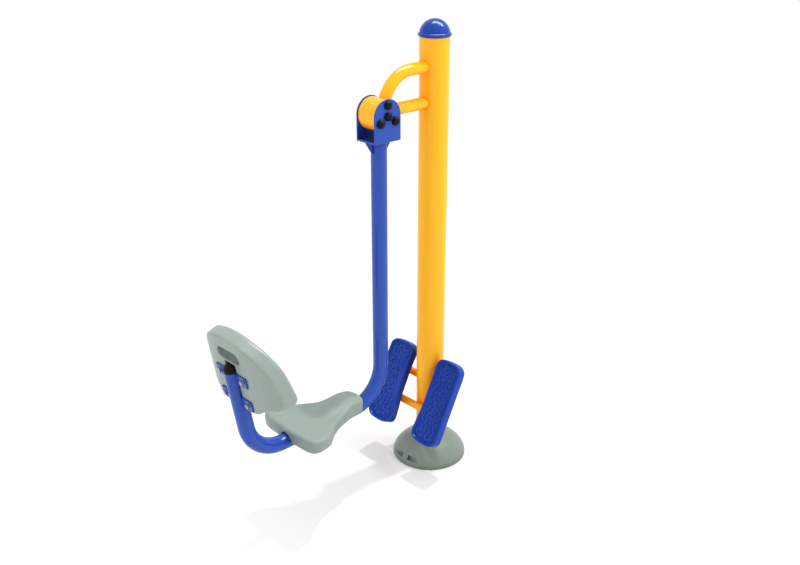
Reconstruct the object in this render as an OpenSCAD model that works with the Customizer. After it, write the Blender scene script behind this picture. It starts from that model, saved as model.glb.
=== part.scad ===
// Outdoor leg press machine for a park or a fitness trail.
// A post stands on an anchored foot plate. Two bracket tubes hold a bearing drum out in
// front of it, and a one-piece bent arm hangs from the drum and carries the saddle seat
// and the backrest. The rider pushes on two fixed foot plates and swings away from the post.
// Millimetres. The origin is on the ground in the post's axis, +Z is up, and the rider
// sits on the -X side and faces +X, so the rider's left is +Y.

/* [Post] */
// Outside diameter of the post
post_d = 114; // [100:1:130]
// Wall of the post
post_wall = 4; // [3:0.5:8]
// Height of the post's top edge above the ground
post_top_z = 1771; // [1740:1:2000]

/* [Post cap] */
// How far the cap's lip stands out past the post
cap_lip_out = 5.5; // [3:0.5:12]
// Height of the cap's lip
cap_lip_h = 15; // [6:1:20]
// Height of the cap's dome above its lip
cap_dome_h = 49; // [30:1:54]
// Depth of the cap's plug inside the post
cap_plug_h = 45; // [20:1:80]
// Wall of the moulded caps
cap_wall = 3; // [2:0.5:6]

/* [Foot] */
// Diameter of the steel foot plate
foot_d = 260; // [244:1:280]
// Thickness of the foot plate
foot_t = 12; // [8:1:20]
// Pitch circle of the four anchor holes
anchor_pcd = 200; // [180:1:210]
// Diameter of an anchor hole
anchor_hole_d = 18; // [14:1:22]
// Diameter of the drain hole under the post
drain_d = 60; // [30:1:80]
// Height of a foot rib on the post
rib_h = 62; // [40:1:70]
// How far a foot rib reaches out from the post
rib_reach = 58; // [40:1:64]
// Thickness of a foot rib
rib_t = 8; // [5:1:12]
// Height of a foot rib's outer end
rib_toe_h = 8; // [4:1:16]

/* [Foot cover] */
// Diameter of the domed cover on the ground
cover_d = 307; // [300:1:340]
// Height of the cover's upright skirt
cover_skirt_h = 11; // [6:1:20]
// Height of the cover's crown above its skirt, as if it closed at the axis
cover_crown_h = 104; // [90:1:130]
// Fullness of the cover's crown: 2 is an ellipse, and less is more pointed
cover_fullness = 1.7; // [1.6:0.05:2.4]
// Wall of the cover
cover_wall = 3; // [2:0.5:5]
// Gap at the seam between the two halves
seam_gap = 0.4; // [0.2:0.1:1]
// Width of the land between the two screw pockets at a seam
pocket_land = 24; // [18:1:36]
// Length of a screw pocket
pocket_len = 54; // [40:1:60]
// Height of a screw pocket
pocket_h = 18; // [14:1:24]
// Height of the pockets' middle above the ground
pocket_z = 34; // [26:1:40]
// Depth of a pocket's flat floor behind the skirt
pocket_depth = 21; // [18:1:26]

/* [Bracket tubes] */
// Outside diameter of the two bracket tubes
bracket_d = 46; // [38:1:50]
// Wall of the bracket tubes
bracket_wall = 3; // [2:0.5:5]
// Bend radius of the upper bracket tube
bracket_bend_r = 138; // [120:1:150]
// Length of the upper tube's straight end, measured from the post's axis
bracket_straight = 119; // [100:1:130]
// Height of the lower bracket tube above the pivot
strut_rise = 6; // [0:1:12]

/* [Bearing drum] */
// Distance of the pivot in front of the post's axis
pivot_reach = 278.5; // [270:0.5:300]
// Height of the pivot above the ground
pivot_z = 1529; // [1480:1:1560]
// Outside diameter of the drum
drum_d = 118; // [114:1:122]
// Wall of the drum
drum_wall = 4; // [3:0.5:6]
// Length of the drum
drum_len = 83; // [76:1:100]
// Wall of the bearing hub in the drum
hub_wall = 4.5; // [3:0.5:6]
// Width of the shoulder that each bearing rests on
hub_shoulder = 3; // [2:0.5:4]
// Thickness of a stop web
stop_web_t = 6; // [4:0.5:8]
// Swing of the arm from rest to its far stop, in degrees
swing_deg = 35; // [20:1:40]

/* [Bearings and axle] */
// Diameter of the axle
axle_d = 25; // [22:1:28]
// Outside diameter of a ball bearing
bearing_d = 52; // [48:1:54]
// Width of a ball bearing
bearing_w = 15; // [12:1:18]
// Diameter of a bearing ball
ball_d = 7.9; // [6:0.1:8.5]
// Number of balls in a bearing
ball_n = 9; // [7:1:10]
// Thickness of a bearing's inner and outer ring
race_wall = 4; // [3:0.5:4.5]
// Thickness of a bearing's seal
seal_t = 1.2; // [0.8:0.1:1.6]
// How deep a seal lies in the face of its bearing
seal_depth = 0.3; // [0.2:0.1:0.5]
// Depth of the bolt holes in the ends of the axle
axle_bolt_depth = 26; // [18:1:36]

/* [Fork] */
// Width of the fork's side plates
fork_w = 124; // [122:1:136]
// Thickness of the fork's side plates
fork_t = 6; // [4:0.5:10]
// Side gap between the drum and a side plate
fork_gap = 2; // [1:0.5:4]
// How far the fork reaches below the pivot
fork_drop = 93.4; // [88:0.1:120]
// Thickness of the fork's crown plate
crown_t = 8; // [5:1:12]
// Radius of the circle of tie bolts
tie_r = 41; // [40:0.5:42]
// Diameter of the fork's bolts
fork_bolt_d = 12; // [10:1:12]
// Outside diameter of a rubber stop sleeve
sleeve_d = 16; // [15:0.5:17]
// Width of a fork gusset
gusset_w = 32; // [20:1:32]
// Height of a fork gusset
gusset_h = 46; // [20:1:60]
// Thickness of a fork gusset
gusset_t = 6; // [4:1:10]
// Diameter of a bolt cap
bolt_cap_d = 31; // [30:0.5:34]
// Height of a bolt cap
bolt_cap_h = 16.5; // [16:0.5:20]
// Height of the domed part of a bolt cap
bolt_cap_dome_h = 9.4; // [6:0.2:11]
// How far a bolt stands out past its nut
bolt_tip = 2; // [1:0.5:3]

/* [Swing arm] */
// Outside diameter of the arm tube
arm_d = 60; // [54:1:64]
// Wall of the arm tube
arm_wall = 3; // [2:0.5:6]
// Bend radius of the arm tube
arm_bend_r = 150; // [140:1:160]
// Height of the arm's level stretch above the ground
seat_line_z = 383; // [350:1:420]
// Length of the level stretch between the two bends
seat_rail_len = 346.5; // [340:0.5:400]
// Lean of the back post from upright, in degrees
back_lean = 9.3; // [5:0.1:20]
// Straight length of the back post above its bend
back_post_len = 251.5; // [235:0.5:300]

/* [Seat] */
// Length of the seat
seat_len = 357; // [345:1:380]
// Greatest width of the seat
seat_w = 318; // [290:1:340]
// Width of the seat's horn
horn_w = 106; // [96:1:130]
// Thickness of the seat at the back
seat_t = 52; // [46:1:64]
// How far the horn rises above the back of the seat
horn_rise = 15; // [5:1:25]
// How far the horn's nose drops again
nose_drop = 8; // [0:1:14]
// Height of the seat's underside above the level stretch's axis
seat_lift = 2; // [1:0.5:6]
// Rounding of the seat's upper edge
seat_edge_r = 14; // [8:1:18]
// Depth of the thigh hollow on each side of the horn
thigh_depth = 11; // [2:1:14]
// Half the length of a thigh hollow
thigh_half_len = 62; // [50:1:75]
// Half the width of a thigh hollow
thigh_half_w = 26; // [20:1:32]
// Depth of the wide hollow at the back of the seat
seat_dish = 4; // [0:0.5:6]
// Half the length of the wide hollow
dish_half_len = 60; // [50:1:75]
// How far the seat's nose reaches in front of the level stretch
nose_reach = 28; // [20:1:32]
// How far the seat's underside is drawn in from its edge
seat_draft = 3; // [1:0.5:4]

/* [Backrest] */
// Width of the backrest on its rear face
back_w = 412; // [390:1:430]
// Height of the backrest above the end of the back post
back_up = 130; // [125:1:160]
// Depth of the backrest below the end of the back post
back_down = 157; // [150:1:180]
// Thickness of the backrest
back_t = 62; // [50:1:75]
// Width of the flat middle of the backrest
back_flat = 150; // [80:1:160]
// Radius that the backrest's sides curve forward on
back_curve_r = 192; // [180:1:400]
// How far the front edge stands out past the rear edge
back_flare = 6; // [0:1:10]
// Rounding of the rear edge
back_crease_r = 8; // [5:1:10]
// Rounding of the front edge
back_front_r = 20; // [14:1:22]
// Width of the hand slot
slot_w = 127; // [100:1:140]
// Height of the hand slot
slot_h = 44; // [36:1:50]
// Height of the hand slot's middle above the end of the back post
slot_up = 59; // [58:1:64]

/* [Plastic mounting] */
// Distance of a tab's outer edge from the middle
tab_reach = 88; // [80:1:100]
// Length of a tab along the tube
tab_len = 40; // [36:1:44]
// Thickness of a tab
tab_t = 5; // [3:0.5:8]
// Distance of a tab's bolt from the middle
tab_bolt_y = 66; // [58:1:72]
// Distance of the upper back tabs below the end of the back post
back_tab_top = 21; // [20:1:26]
// Distance between the upper and the lower back tabs
back_tab_pitch = 98; // [90:1:110]
// Distance of the rear seat tabs in front of the rear bend
seat_tab_rear = 60; // [45:1:70]
// Distance between the rear and the front seat tabs
seat_tab_pitch = 88; // [80:1:96]
// Diameter of the tab bolts
tab_bolt_d = 10; // [8:1:10]
// Depth of a threaded insert
insert_h = 22; // [16:1:26]
// Closed end of a threaded insert
insert_end = 1; // [0.5:0.5:2]

/* [Foot plates] */
// Diameter of the two cross bars
bar_d = 32; // [28:1:36]
// Wall of the cross bars
bar_wall = 3; // [2:0.5:5]
// Height of the lower cross bar
bar_low_z = 250; // [240:1:260]
// Height of the upper cross bar
bar_high_z = 350; // [340:1:360]
// How far the lower cross bar is let into the post
bar_inset = 2; // [1:0.5:4]
// Distance of a foot plate's middle from the machine's middle
pedal_y = 132; // [130:0.5:150]
// Distance of a foot plate's face in front of the post's axis, at mid height
pedal_reach = 104; // [98:1:115]
// Height of a foot plate's middle
pedal_z = 336; // [325:1:350]
// Lean of the foot plates from upright, in degrees
pedal_lean = 27; // [24:0.5:30]
// Length of a foot plate
pedal_len = 358; // [320:1:370]
// Width of a foot plate
pedal_w = 138; // [120:1:144]
// How far the inner edge is drawn in above the heel
pedal_waist = 10; // [5:1:20]
// Thickness of a foot plate
pedal_t = 38; // [30:1:42]
// Rounding of a foot plate's rear edge
pedal_back_r = 5; // [3:0.5:8]
// Height of the rim around the tread
rim_h = 4; // [2:0.5:6]
// Width of the rim around the tread
rim_w = 9; // [6:0.5:14]
// Thickness of the foot plates' steel carriers
carrier_t = 6; // [4:1:10]
// Wall of a carrier round its cross bars
eye_wall = 3; // [2:0.5:5]
// Width of a carrier's mounting flange
flange_w = 80; // [72:1:90]
// Length of a carrier's mounting flange
flange_len = 200; // [180:1:220]
// Diameter of the foot plates' bolts
pedal_bolt_d = 8; // [6:1:10]

/* [Fits] */
// Gap between pieces that are welded or clamped together
weld_gap = 0.1; // [0.05:0.05:0.3]
// Radial gap of a bearing ring on its seat
press_gap = 0.05; // [0.02:0.01:0.1]
// Gap between pieces that move past each other
run_gap = 0.35; // [0.3:0.05:0.6]
// Radial gap of a bolt in its hole
bolt_gap = 0.2; // [0.1:0.05:0.5]

/* [Hidden] */
$fn = 96;

yellow = "#feb82a";
blue = "#2f4fc4";
pedal_blue = "#1f3fae";
sage = "#a9b8ae";
black = "#1c1c1e";
zinc = "#c6c9cc";
rubber = "#2a2a2a";
brass = "#b9984e";

post_r = post_d / 2;
arm_r = arm_d / 2;
over = 1;

// Places in the XZ plane, as [x, z]
pivot = [-pivot_reach, pivot_z];
bracket_bend_c = [-bracket_straight, pivot_z];
front_bend_c = [-pivot_reach - arm_bend_r, seat_line_z + arm_bend_r];
rear_bend_c = front_bend_c - [seat_rail_len, 0];
back_bend_end = rear_bend_c - arm_bend_r * [cos(back_lean), sin(back_lean)];
back_end = back_bend_end + back_post_len * [-sin(back_lean), cos(back_lean)];

// Across the drum and the fork, from the middle outwards
drum_half = drum_len / 2;
fork_in_y = drum_half + fork_gap;
fork_out_y = fork_in_y + fork_t;
bearing_in_y = drum_half - bearing_w;
bearing_r = bearing_d / 2;
hub_r = bearing_r + hub_wall;
drum_in_r = drum_d / 2 - drum_wall;
axle_r = axle_d / 2;
ring_in_r = axle_r + race_wall;
ring_out_r = bearing_r - race_wall;
ball_track_r = (axle_r + bearing_r) / 2;
sleeve_r = sleeve_d / 2;
tie_angles = [90, 210, 330];

// Fasteners, from the nominal diameter of their bolt
function head_af(d) = 1.6 * d;
function head_h(d) = 0.64 * d;
function nut_h(d) = 0.67 * d;
function washer_r(d) = d;
function washer_t(d) = d / 6;

// Smooth closed outline through the given points, with n steps between two of them
function spline_point(a, b, c, d, t) =
    0.5 * (2 * b + (c - a) * t + (2 * a - 5 * b + 4 * c - d) * t * t
           + (3 * b - a - 3 * c + d) * t * t * t);
function spline(p, n) = let (m = len(p)) [
    for (i = [0:m - 1], k = [0:n - 1])
        spline_point(p[(i + m - 1) % m], p[i], p[(i + 1) % m], p[(i + 2) % m], k / n)
];

// The full outline of a shape that is alike on both sides, from one half of it
function both_sides(half) = let (m = len(half)) concat(
    half, [for (i = [m - 2:-1:1]) [half[i][0], -half[i][1]]]
);

// The outline moved inwards by d; it runs anticlockwise or clockwise as way is 1 or -1
function unit(v) = v / norm(v);
function inset(p, d, way) = let (m = len(p)) [
    for (i = [0:m - 1])
        let (t = unit(p[(i + 1) % m] - p[(i + m - 1) % m]))
            p[i] + d * way * [-t[1], t[0]]
];

// The outline drawn in to a share k of its distance from the spine between a and b
function drawn_in(p, k, a, b) = [
    for (q = p) let (s = min(max(q[0], a), b)) [s + (q[0] - s) * k, q[1] * k]
];

// A closed skin over rings of points. An end is a ladder of strips between the two sides
// of its ring, or a fan about the ring's middle where the outline doubles back.
module skin(rings, fan = false) {
    m = len(rings[0]);
    last = len(rings) - 1;
    h = m / 2;
    points = [for (r = rings) each r];
    hubs = fan ? [middle(rings[0]), middle(rings[last])] : [];
    walls = [
        for (j = [0:last - 1], i = [0:m - 1])
            let (a = j * m + i, b = j * m + (i + 1) % m)
                each [[a, b, b + m], [a, b + m, a + m]]
    ];
    ladder = concat(
        [[0, 1, m - 1]],
        [for (i = [1:h - 2]) each [[i, i + 1, m - i - 1], [i, m - i - 1, m - i]]],
        [[h - 1, h, h + 1]]
    );
    start = fan
        ? [for (i = [0:m - 1]) [(i + 1) % m, i, len(points)]]
        : [for (f = ladder) [f[2], f[1], f[0]]];
    end = fan
        ? [for (i = [0:m - 1]) [i + last * m, (i + 1) % m + last * m, len(points) + 1]]
        : [for (f = ladder) [f[0] + last * m, f[1] + last * m, f[2] + last * m]];
    polyhedron(concat(points, hubs), concat(walls, start, end), convexity = 6);
}
function middle(ring) = let (n = len(ring)) [
    for (axis = [0:2]) [for (p = ring) p[axis]] * [for (p = ring) 1 / n]
];

// A hexagon bolt along +Z: its shank below zero, its head above
module hex_bolt(d, len) {
    translate([0, 0, -len]) cylinder(d = d, h = len + weld_gap);
    cylinder(d = head_af(d) / cos(30), h = head_h(d), $fn = 6);
}

module washer(d) {
    difference() {
        cylinder(r = washer_r(d), h = washer_t(d));
        translate([0, 0, -over]) cylinder(d = d + 2 * bolt_gap, h = washer_t(d) + 2 * over);
    }
}

module hex_nut(d) {
    difference() {
        cylinder(d = head_af(d) / cos(30), h = nut_h(d), $fn = 6);
        translate([0, 0, -over]) cylinder(d = d + 2 * bolt_gap, h = nut_h(d) + 2 * over);
    }
}

// A rod along Y through the point [x, z]
module rod_y(at, r, len) {
    translate([at[0], 0, at[1]]) rotate([90, 0, 0]) cylinder(r = r, h = len, center = true);
}

// A bent rod in the XZ plane, round the point [x, z], from one angle by a sweep
module bend_xz(centre, bend_r, r, from, sweep) {
    translate([centre[0], 0, centre[1]]) rotate([90, 0, 0]) rotate([0, 0, from])
        rotate_extrude(angle = sweep) translate([bend_r, 0]) circle(r = r);
}

// Local frames. Side 1 is the rider's left and side -1 the right.
module at_back_end() {
    translate([back_end[0], 0, back_end[1]]) rotate([0, -back_lean, 0]) children();
}
module at_seat_rail() {
    translate([rear_bend_c[0], 0, seat_line_z]) children();
}
module at_pivot() {
    translate([pivot[0], 0, pivot[1]]) children();
}
module at_tie(angle) {
    at_pivot() rotate([0, -angle, 0]) translate([tie_r, 0, 0]) children();
}
// Faces outwards from the fork's side plate
module out_of_fork(side) {
    translate([0, side * (fork_out_y + weld_gap), 0]) rotate([side * -90, 0, 0]) children();
}
module at_pedal(side) {
    translate([-pedal_reach, side * pedal_y, pedal_z]) rotate([0, pedal_lean, 0])
        scale([1, side, 1]) children();
}

// The post stands on the foot plate and is drilled for the upper cross bar.
module post() {
    color(yellow) difference() {
        translate([0, 0, foot_t + weld_gap])
            cylinder(d = post_d, h = post_top_z - foot_t - weld_gap);
        translate([0, 0, foot_t - over])
            cylinder(d = post_d - 2 * post_wall, h = post_top_z);
        rod_y([0, bar_high_z], bar_d / 2 + weld_gap, 2 * post_d);
        bar_lower_body(weld_gap);
    }
}

// Cap: a round-nosed lip, a dome and a plug that fits the bore of the post.
module post_cap() {
    lip_r = post_r + cap_lip_out;
    nose_r = cap_lip_h / 2;
    plug_r = post_r - post_wall - weld_gap;
    dome_r = (post_r * post_r + cap_dome_h * cap_dome_h) / (2 * cap_dome_h);
    color(blue) translate([0, 0, post_top_z + weld_gap]) rotate_extrude() difference() {
        union() {
            square([lip_r - nose_r, cap_lip_h]);
            translate([lip_r - nose_r, nose_r]) circle(r = nose_r, $fn = 32);
            translate([0, -cap_plug_h]) square([plug_r, cap_plug_h + over]);
            intersection() {
                translate([0, cap_lip_h + cap_dome_h - dome_r]) circle(r = dome_r);
                translate([0, nose_r]) square([dome_r, cap_lip_h + cap_dome_h]);
            }
        }
        translate([-over, -cap_plug_h - over])
            square([plug_r - cap_wall + over, cap_plug_h + over]);
        translate([-lip_r - over, -cap_plug_h - over]) square([lip_r + over, 2 * post_d]);
    }
}

module foot_plate() {
    color(yellow) difference() {
        cylinder(d = foot_d, h = foot_t);
        translate([0, 0, -over]) cylinder(d = drain_d, h = foot_t + 2 * over);
        for (a = [45:90:315]) rotate([0, 0, a]) translate([anchor_pcd / 2, 0, -over])
            cylinder(d = anchor_hole_d, h = foot_t + 2 * over);
    }
}

module foot_ribs() {
    in_r = post_r + weld_gap;
    color(yellow) for (a = [0:90:270]) rotate([0, 0, a])
        translate([0, rib_t / 2, foot_t + weld_gap]) rotate([90, 0, 0])
            linear_extrude(rib_t) polygon([
                [in_r, 0], [in_r + rib_reach, 0], [in_r + rib_reach, rib_toe_h],
                [in_r + rib_toe_h, rib_h], [in_r, rib_h]
            ]);
}

// The cover as a solid of revolution, drawn in by a depth
module cover_solid(depth) {
    r = cover_d / 2 - depth;
    h = cover_crown_h - depth;
    base = depth > 0 ? -over : 0;
    power = 2 / cover_fullness;
    rotate_extrude() polygon(concat(
        [[0, base], [r, base]],
        [for (a = [0:5:90])
            [r * pow(cos(a), power), cover_skirt_h + h * pow(sin(a), power)]]
    ));
}

// Pocket floors, and the screw that lies along Y between a pair of pockets
pocket_floor_x = cover_d / 2 - pocket_depth;
pocket_y = pocket_land / 2;
cover_screw_d = pocket_h / 3;
cover_screw_x = pocket_floor_x + head_af(cover_screw_d) / 2 + over;

module pocket_blocks(grow, out) {
    for (end = [-1, 1], side = [-1, 1])
        scale([end, side, 1]) translate([pocket_floor_x - grow, grow > 0 ? 0 : pocket_y,
                                         pocket_z - pocket_h / 2 - grow])
            cube([out, (grow > 0 ? pocket_y : 0) + pocket_len, pocket_h + 2 * grow]);
}

module cover_half(side) {
    difference() {
        union() {
            difference() {
                cover_solid(0);
                cover_solid(cover_wall);
            }
            intersection() {
                cover_solid(cover_wall / 2);
                pocket_blocks(cover_wall, cover_d);
            }
        }
        pocket_blocks(0, cover_d);
        translate([0, 0, -over]) cylinder(d = post_d + 2 * run_gap, h = cover_d);
        for (end = [-1, 1]) rod_y([end * cover_screw_x, pocket_z],
                                  cover_screw_d / 2 + bolt_gap, 2 * pocket_land);
        translate([-cover_d, side > 0 ? seam_gap / 2 - cover_d : -seam_gap / 2, -over])
            cube([2 * cover_d, cover_d, cover_d]);
    }
}
module cover_left() color(sage) cover_half(1);
module cover_right() color(sage) cover_half(-1);

module cover_screws() {
    color(zinc) for (end = [-1, 1])
        translate([end * cover_screw_x, -pocket_y - weld_gap, pocket_z]) rotate([90, 0, 0])
            hex_bolt(cover_screw_d, pocket_land + nut_h(cover_screw_d) + 2 * weld_gap);
}
module cover_nuts() {
    color(zinc) for (end = [-1, 1])
        translate([end * cover_screw_x, pocket_y + weld_gap, pocket_z]) rotate([-90, 0, 0])
            hex_nut(cover_screw_d);
}

// Upper bracket tube: level at the post, then bent down into the top of the drum.
module bracket_upper_rod(r) {
    bend_xz(bracket_bend_c, bracket_bend_r, r, 90, 90);
    translate([-bracket_straight, 0, pivot_z + bracket_bend_r]) rotate([0, 90, 0])
        cylinder(r = r, h = bracket_straight);
}
module bracket_lower_rod(r) {
    translate([-pivot_reach, 0, pivot_z + strut_rise]) rotate([0, 90, 0])
        cylinder(r = r, h = pivot_reach);
}
// Both ends are coped to the post and to the drum.
module coped_bracket() {
    difference() {
        children();
        translate([0, 0, foot_t]) cylinder(r = post_r + weld_gap, h = post_top_z);
        rod_y(pivot, drum_d / 2 + weld_gap, 2 * drum_len);
    }
}
module bracket_upper() {
    color(yellow) coped_bracket() difference() {
        bracket_upper_rod(bracket_d / 2);
        bracket_upper_rod(bracket_d / 2 - bracket_wall);
    }
}
module bracket_lower() {
    color(yellow) coped_bracket() difference() {
        bracket_lower_rod(bracket_d / 2);
        bracket_lower_rod(bracket_d / 2 - bracket_wall);
    }
}

// Half the angle that a sleeve and half a web take up on the tie circle
stop_clear_deg = asin((sleeve_r + stop_web_t / 2 + run_gap) / tie_r);

// Drum: the outer shell, the hub for the bearings, and webs that stop the tie bolts.
module bearing_drum() {
    bore_r = bearing_r + press_gap;
    color(yellow) at_pivot() rotate([90, 0, 0]) difference() {
        union() {
            difference() {
                cylinder(d = drum_d, h = drum_len, center = true);
                cylinder(r = drum_in_r, h = drum_len + 2 * over, center = true);
            }
            cylinder(r = hub_r, h = drum_len, center = true);
            for (a = tie_angles, w = [stop_clear_deg, -swing_deg - stop_clear_deg])
                rotate([0, 0, a + w]) translate([hub_r - over, -stop_web_t / 2, -bearing_in_y])
                    cube([drum_in_r - hub_r + 2 * over, stop_web_t, 2 * bearing_in_y]);
        }
        cylinder(r = bore_r - hub_shoulder, h = drum_len + 2 * over, center = true);
        for (side = [-1, 1]) translate([0, 0, side * (bearing_in_y + drum_len / 2)])
            cylinder(r = bore_r, h = drum_len, center = true);
    }
}

// Everything of a bearing is drawn round Z, between z = 0 and its width.
module both_bearings() {
    for (side = [-1, 1]) at_pivot() rotate([side * -90, 0, 0])
        translate([0, 0, bearing_in_y]) children();
}
module bearing_ring(in_r, out_r) {
    rotate_extrude() difference() {
        translate([in_r, 0]) square([out_r - in_r, bearing_w]);
        translate([ball_track_r, bearing_w / 2]) circle(r = ball_d / 2 + run_gap, $fn = 48);
    }
}
module bearing_outer_rings() color(zinc) both_bearings() bearing_ring(ring_out_r, bearing_r);
module bearing_inner_rings() color(zinc) both_bearings()
    bearing_ring(axle_r + press_gap, ring_in_r);
module bearing_balls() {
    color(zinc) both_bearings() for (i = [0:ball_n - 1]) rotate([0, 0, i * 360 / ball_n])
        translate([ball_track_r, 0, bearing_w / 2]) sphere(d = ball_d, $fn = 32);
}
module bearing_seals() {
    color(rubber) both_bearings() for (z = [seal_depth, bearing_w - seal_depth - seal_t])
        translate([0, 0, z]) difference() {
            cylinder(r = ring_out_r - weld_gap, h = seal_t);
            translate([0, 0, -over]) cylinder(r = ring_in_r + run_gap, h = seal_t + 2 * over);
        }
}

// Axle between the side plates, drilled at both ends for its bolts.
module axle() {
    color(zinc) at_pivot() rotate([90, 0, 0]) difference() {
        cylinder(r = axle_r, h = 2 * (fork_in_y - weld_gap), center = true);
        for (side = [-1, 1]) translate([0, 0, side * (fork_in_y - axle_bolt_depth / 2)])
            cylinder(r = fork_bolt_d / 2 + bolt_gap, h = axle_bolt_depth, center = true);
    }
}
module axle_bolts() {
    color(zinc) at_pivot() for (side = [-1, 1]) out_of_fork(side)
        translate([0, 0, washer_t(fork_bolt_d) + weld_gap])
            hex_bolt(fork_bolt_d, washer_t(fork_bolt_d) + fork_t + axle_bolt_depth - over);
}
module axle_spacers() {
    module sleeve(r, len) {
        difference() {
            cylinder(r = r, h = len, center = true);
            cylinder(r = axle_r + press_gap, h = len + 2 * over, center = true);
        }
    }
    gap_mid = (drum_half + fork_in_y) / 2;
    color(zinc) at_pivot() rotate([90, 0, 0]) {
        sleeve(ring_in_r, 2 * (bearing_in_y - weld_gap));
        for (side = [-1, 1]) translate([0, 0, side * gap_mid])
            sleeve(ring_in_r, fork_gap - 2 * weld_gap);
    }
}

// Side plate: a round head, straight sides, one axle hole and three tie holes.
module fork_plate(side) {
    color(blue) at_pivot() translate([0, side * (fork_in_y + fork_t / 2), 0])
        rotate([90, 0, 0]) linear_extrude(fork_t, center = true) difference() {
            union() {
                circle(d = fork_w);
                translate([-fork_w / 2, -fork_drop]) square([fork_w, fork_drop]);
            }
            circle(d = fork_bolt_d + 2 * bolt_gap);
            for (a = tie_angles) rotate(a) translate([tie_r, 0])
                circle(d = fork_bolt_d + 2 * bolt_gap);
        }
}
module fork_plate_left() fork_plate(1);
module fork_plate_right() fork_plate(-1);

module fork_crown() {
    half_y = fork_in_y - weld_gap;
    color(blue) at_pivot() translate([-fork_w / 2, -half_y, -fork_drop])
        cube([fork_w, 2 * half_y, crown_t]);
}

module fork_gussets() {
    top_z = -fork_drop - weld_gap;
    in_x = arm_r + weld_gap;
    toe = gusset_t / 2;
    color(blue) at_pivot() for (side = [-1, 1])
        scale([side, 1, 1]) translate([0, gusset_t / 2, 0]) rotate([90, 0, 0])
            linear_extrude(gusset_t) polygon([
                [in_x, top_z], [arm_r + gusset_w, top_z], [arm_r + gusset_w, top_z - toe],
                [in_x + toe, top_z - gusset_h], [in_x, top_z - gusset_h]
            ]);
}

tie_stack = 2 * (fork_out_y + weld_gap + washer_t(fork_bolt_d) + weld_gap);
module tie_bolts() {
    color(zinc) for (a = tie_angles) at_tie(a) out_of_fork(-1)
        translate([0, 0, washer_t(fork_bolt_d) + weld_gap])
            hex_bolt(fork_bolt_d, tie_stack + nut_h(fork_bolt_d) + bolt_tip);
}
module tie_nuts() {
    color(zinc) for (a = tie_angles) at_tie(a) out_of_fork(1)
        translate([0, 0, washer_t(fork_bolt_d) + weld_gap]) hex_nut(fork_bolt_d);
}
module fork_washers() {
    color(zinc) for (side = [-1, 1]) {
        at_pivot() out_of_fork(side) washer(fork_bolt_d);
        for (a = tie_angles) at_tie(a) out_of_fork(side) washer(fork_bolt_d);
    }
}
module stop_sleeves() {
    color(rubber) for (a = tie_angles) at_tie(a) rotate([90, 0, 0]) difference() {
        cylinder(r = sleeve_r, h = 2 * (fork_in_y - weld_gap), center = true);
        cylinder(r = fork_bolt_d / 2 + bolt_gap, h = 3 * fork_in_y, center = true);
    }
}

// Domed cap over a bolt head or a nut
module bolt_cap() {
    r = bolt_cap_d / 2;
    dome_h = bolt_cap_dome_h;
    dome_r = (r * r + dome_h * dome_h) / (2 * dome_h);
    nut_top = washer_t(fork_bolt_d) + nut_h(fork_bolt_d) + 4 * weld_gap;
    rotate_extrude() difference() {
        union() {
            square([r, bolt_cap_h - dome_h]);
            intersection() {
                translate([0, bolt_cap_h - dome_r]) circle(r = dome_r);
                square([r, bolt_cap_h]);
            }
        }
        translate([-over, -over])
            square([washer_r(fork_bolt_d) + weld_gap + over, nut_top + over]);
        translate([-over, -over]) square([fork_bolt_d / 2 + 1 + over, nut_top + bolt_tip + 1 + over]);
        translate([-dome_r - over, -dome_r]) square([dome_r + over, 3 * dome_r]);
    }
}
module bolt_caps(side) {
    color(black) {
        at_pivot() out_of_fork(side) bolt_cap();
        for (a = tie_angles) at_tie(a) out_of_fork(side) bolt_cap();
    }
}
module bolt_caps_left() bolt_caps(1);
module bolt_caps_right() bolt_caps(-1);

// The arm tube hangs from the fork and runs level under the seat. The back tube is butted
// to it, bends up behind the seat and carries the backrest.
module hanger_rod(r) {
    top_z = pivot_z - fork_drop - weld_gap;
    translate([-pivot_reach, 0, front_bend_c[1]])
        cylinder(r = r, h = top_z - front_bend_c[1]);
    bend_xz(front_bend_c, arm_bend_r, r, -90, 90);
    rail_rod(r);
}
module rail_rod(r) {
    translate([rear_bend_c[0], 0, seat_line_z]) rotate([0, 90, 0])
        cylinder(r = r, h = seat_rail_len);
}
module back_rod(r) {
    bend_xz(rear_bend_c, arm_bend_r, r, 180 + back_lean, 90 - back_lean);
    translate([rear_bend_c[0], 0, rear_bend_c[1]]) rotate([0, -back_lean, 0])
        translate([-arm_bend_r, 0, 0]) cylinder(r = r, h = back_post_len);
}
module arm_tube() {
    color(blue) difference() {
        hanger_rod(arm_r);
        hanger_rod(arm_r - arm_wall);
    }
}
module back_tube() {
    color(blue) difference() {
        back_rod(arm_r);
        back_rod(arm_r - arm_wall);
    }
}
// Cap: a hollow half ball with a plug that fits the bore of the back tube.
module arm_end_cap() {
    plug_h = 0.8 * arm_r;
    plug_r = arm_r - arm_wall - weld_gap;
    in_r = plug_r - cap_wall;
    color(black) at_back_end() rotate_extrude() difference() {
        union() {
            translate([0, weld_gap]) intersection() {
                circle(r = arm_r);
                square(arm_r);
            }
            translate([0, -plug_h]) square([plug_r, plug_h + over]);
        }
        translate([-over, -plug_h - over]) square([in_r + over, plug_h + over]);
        circle(r = in_r);
        translate([-arm_d, -arm_d]) square([arm_d, 2 * arm_d]);
    }
}

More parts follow.
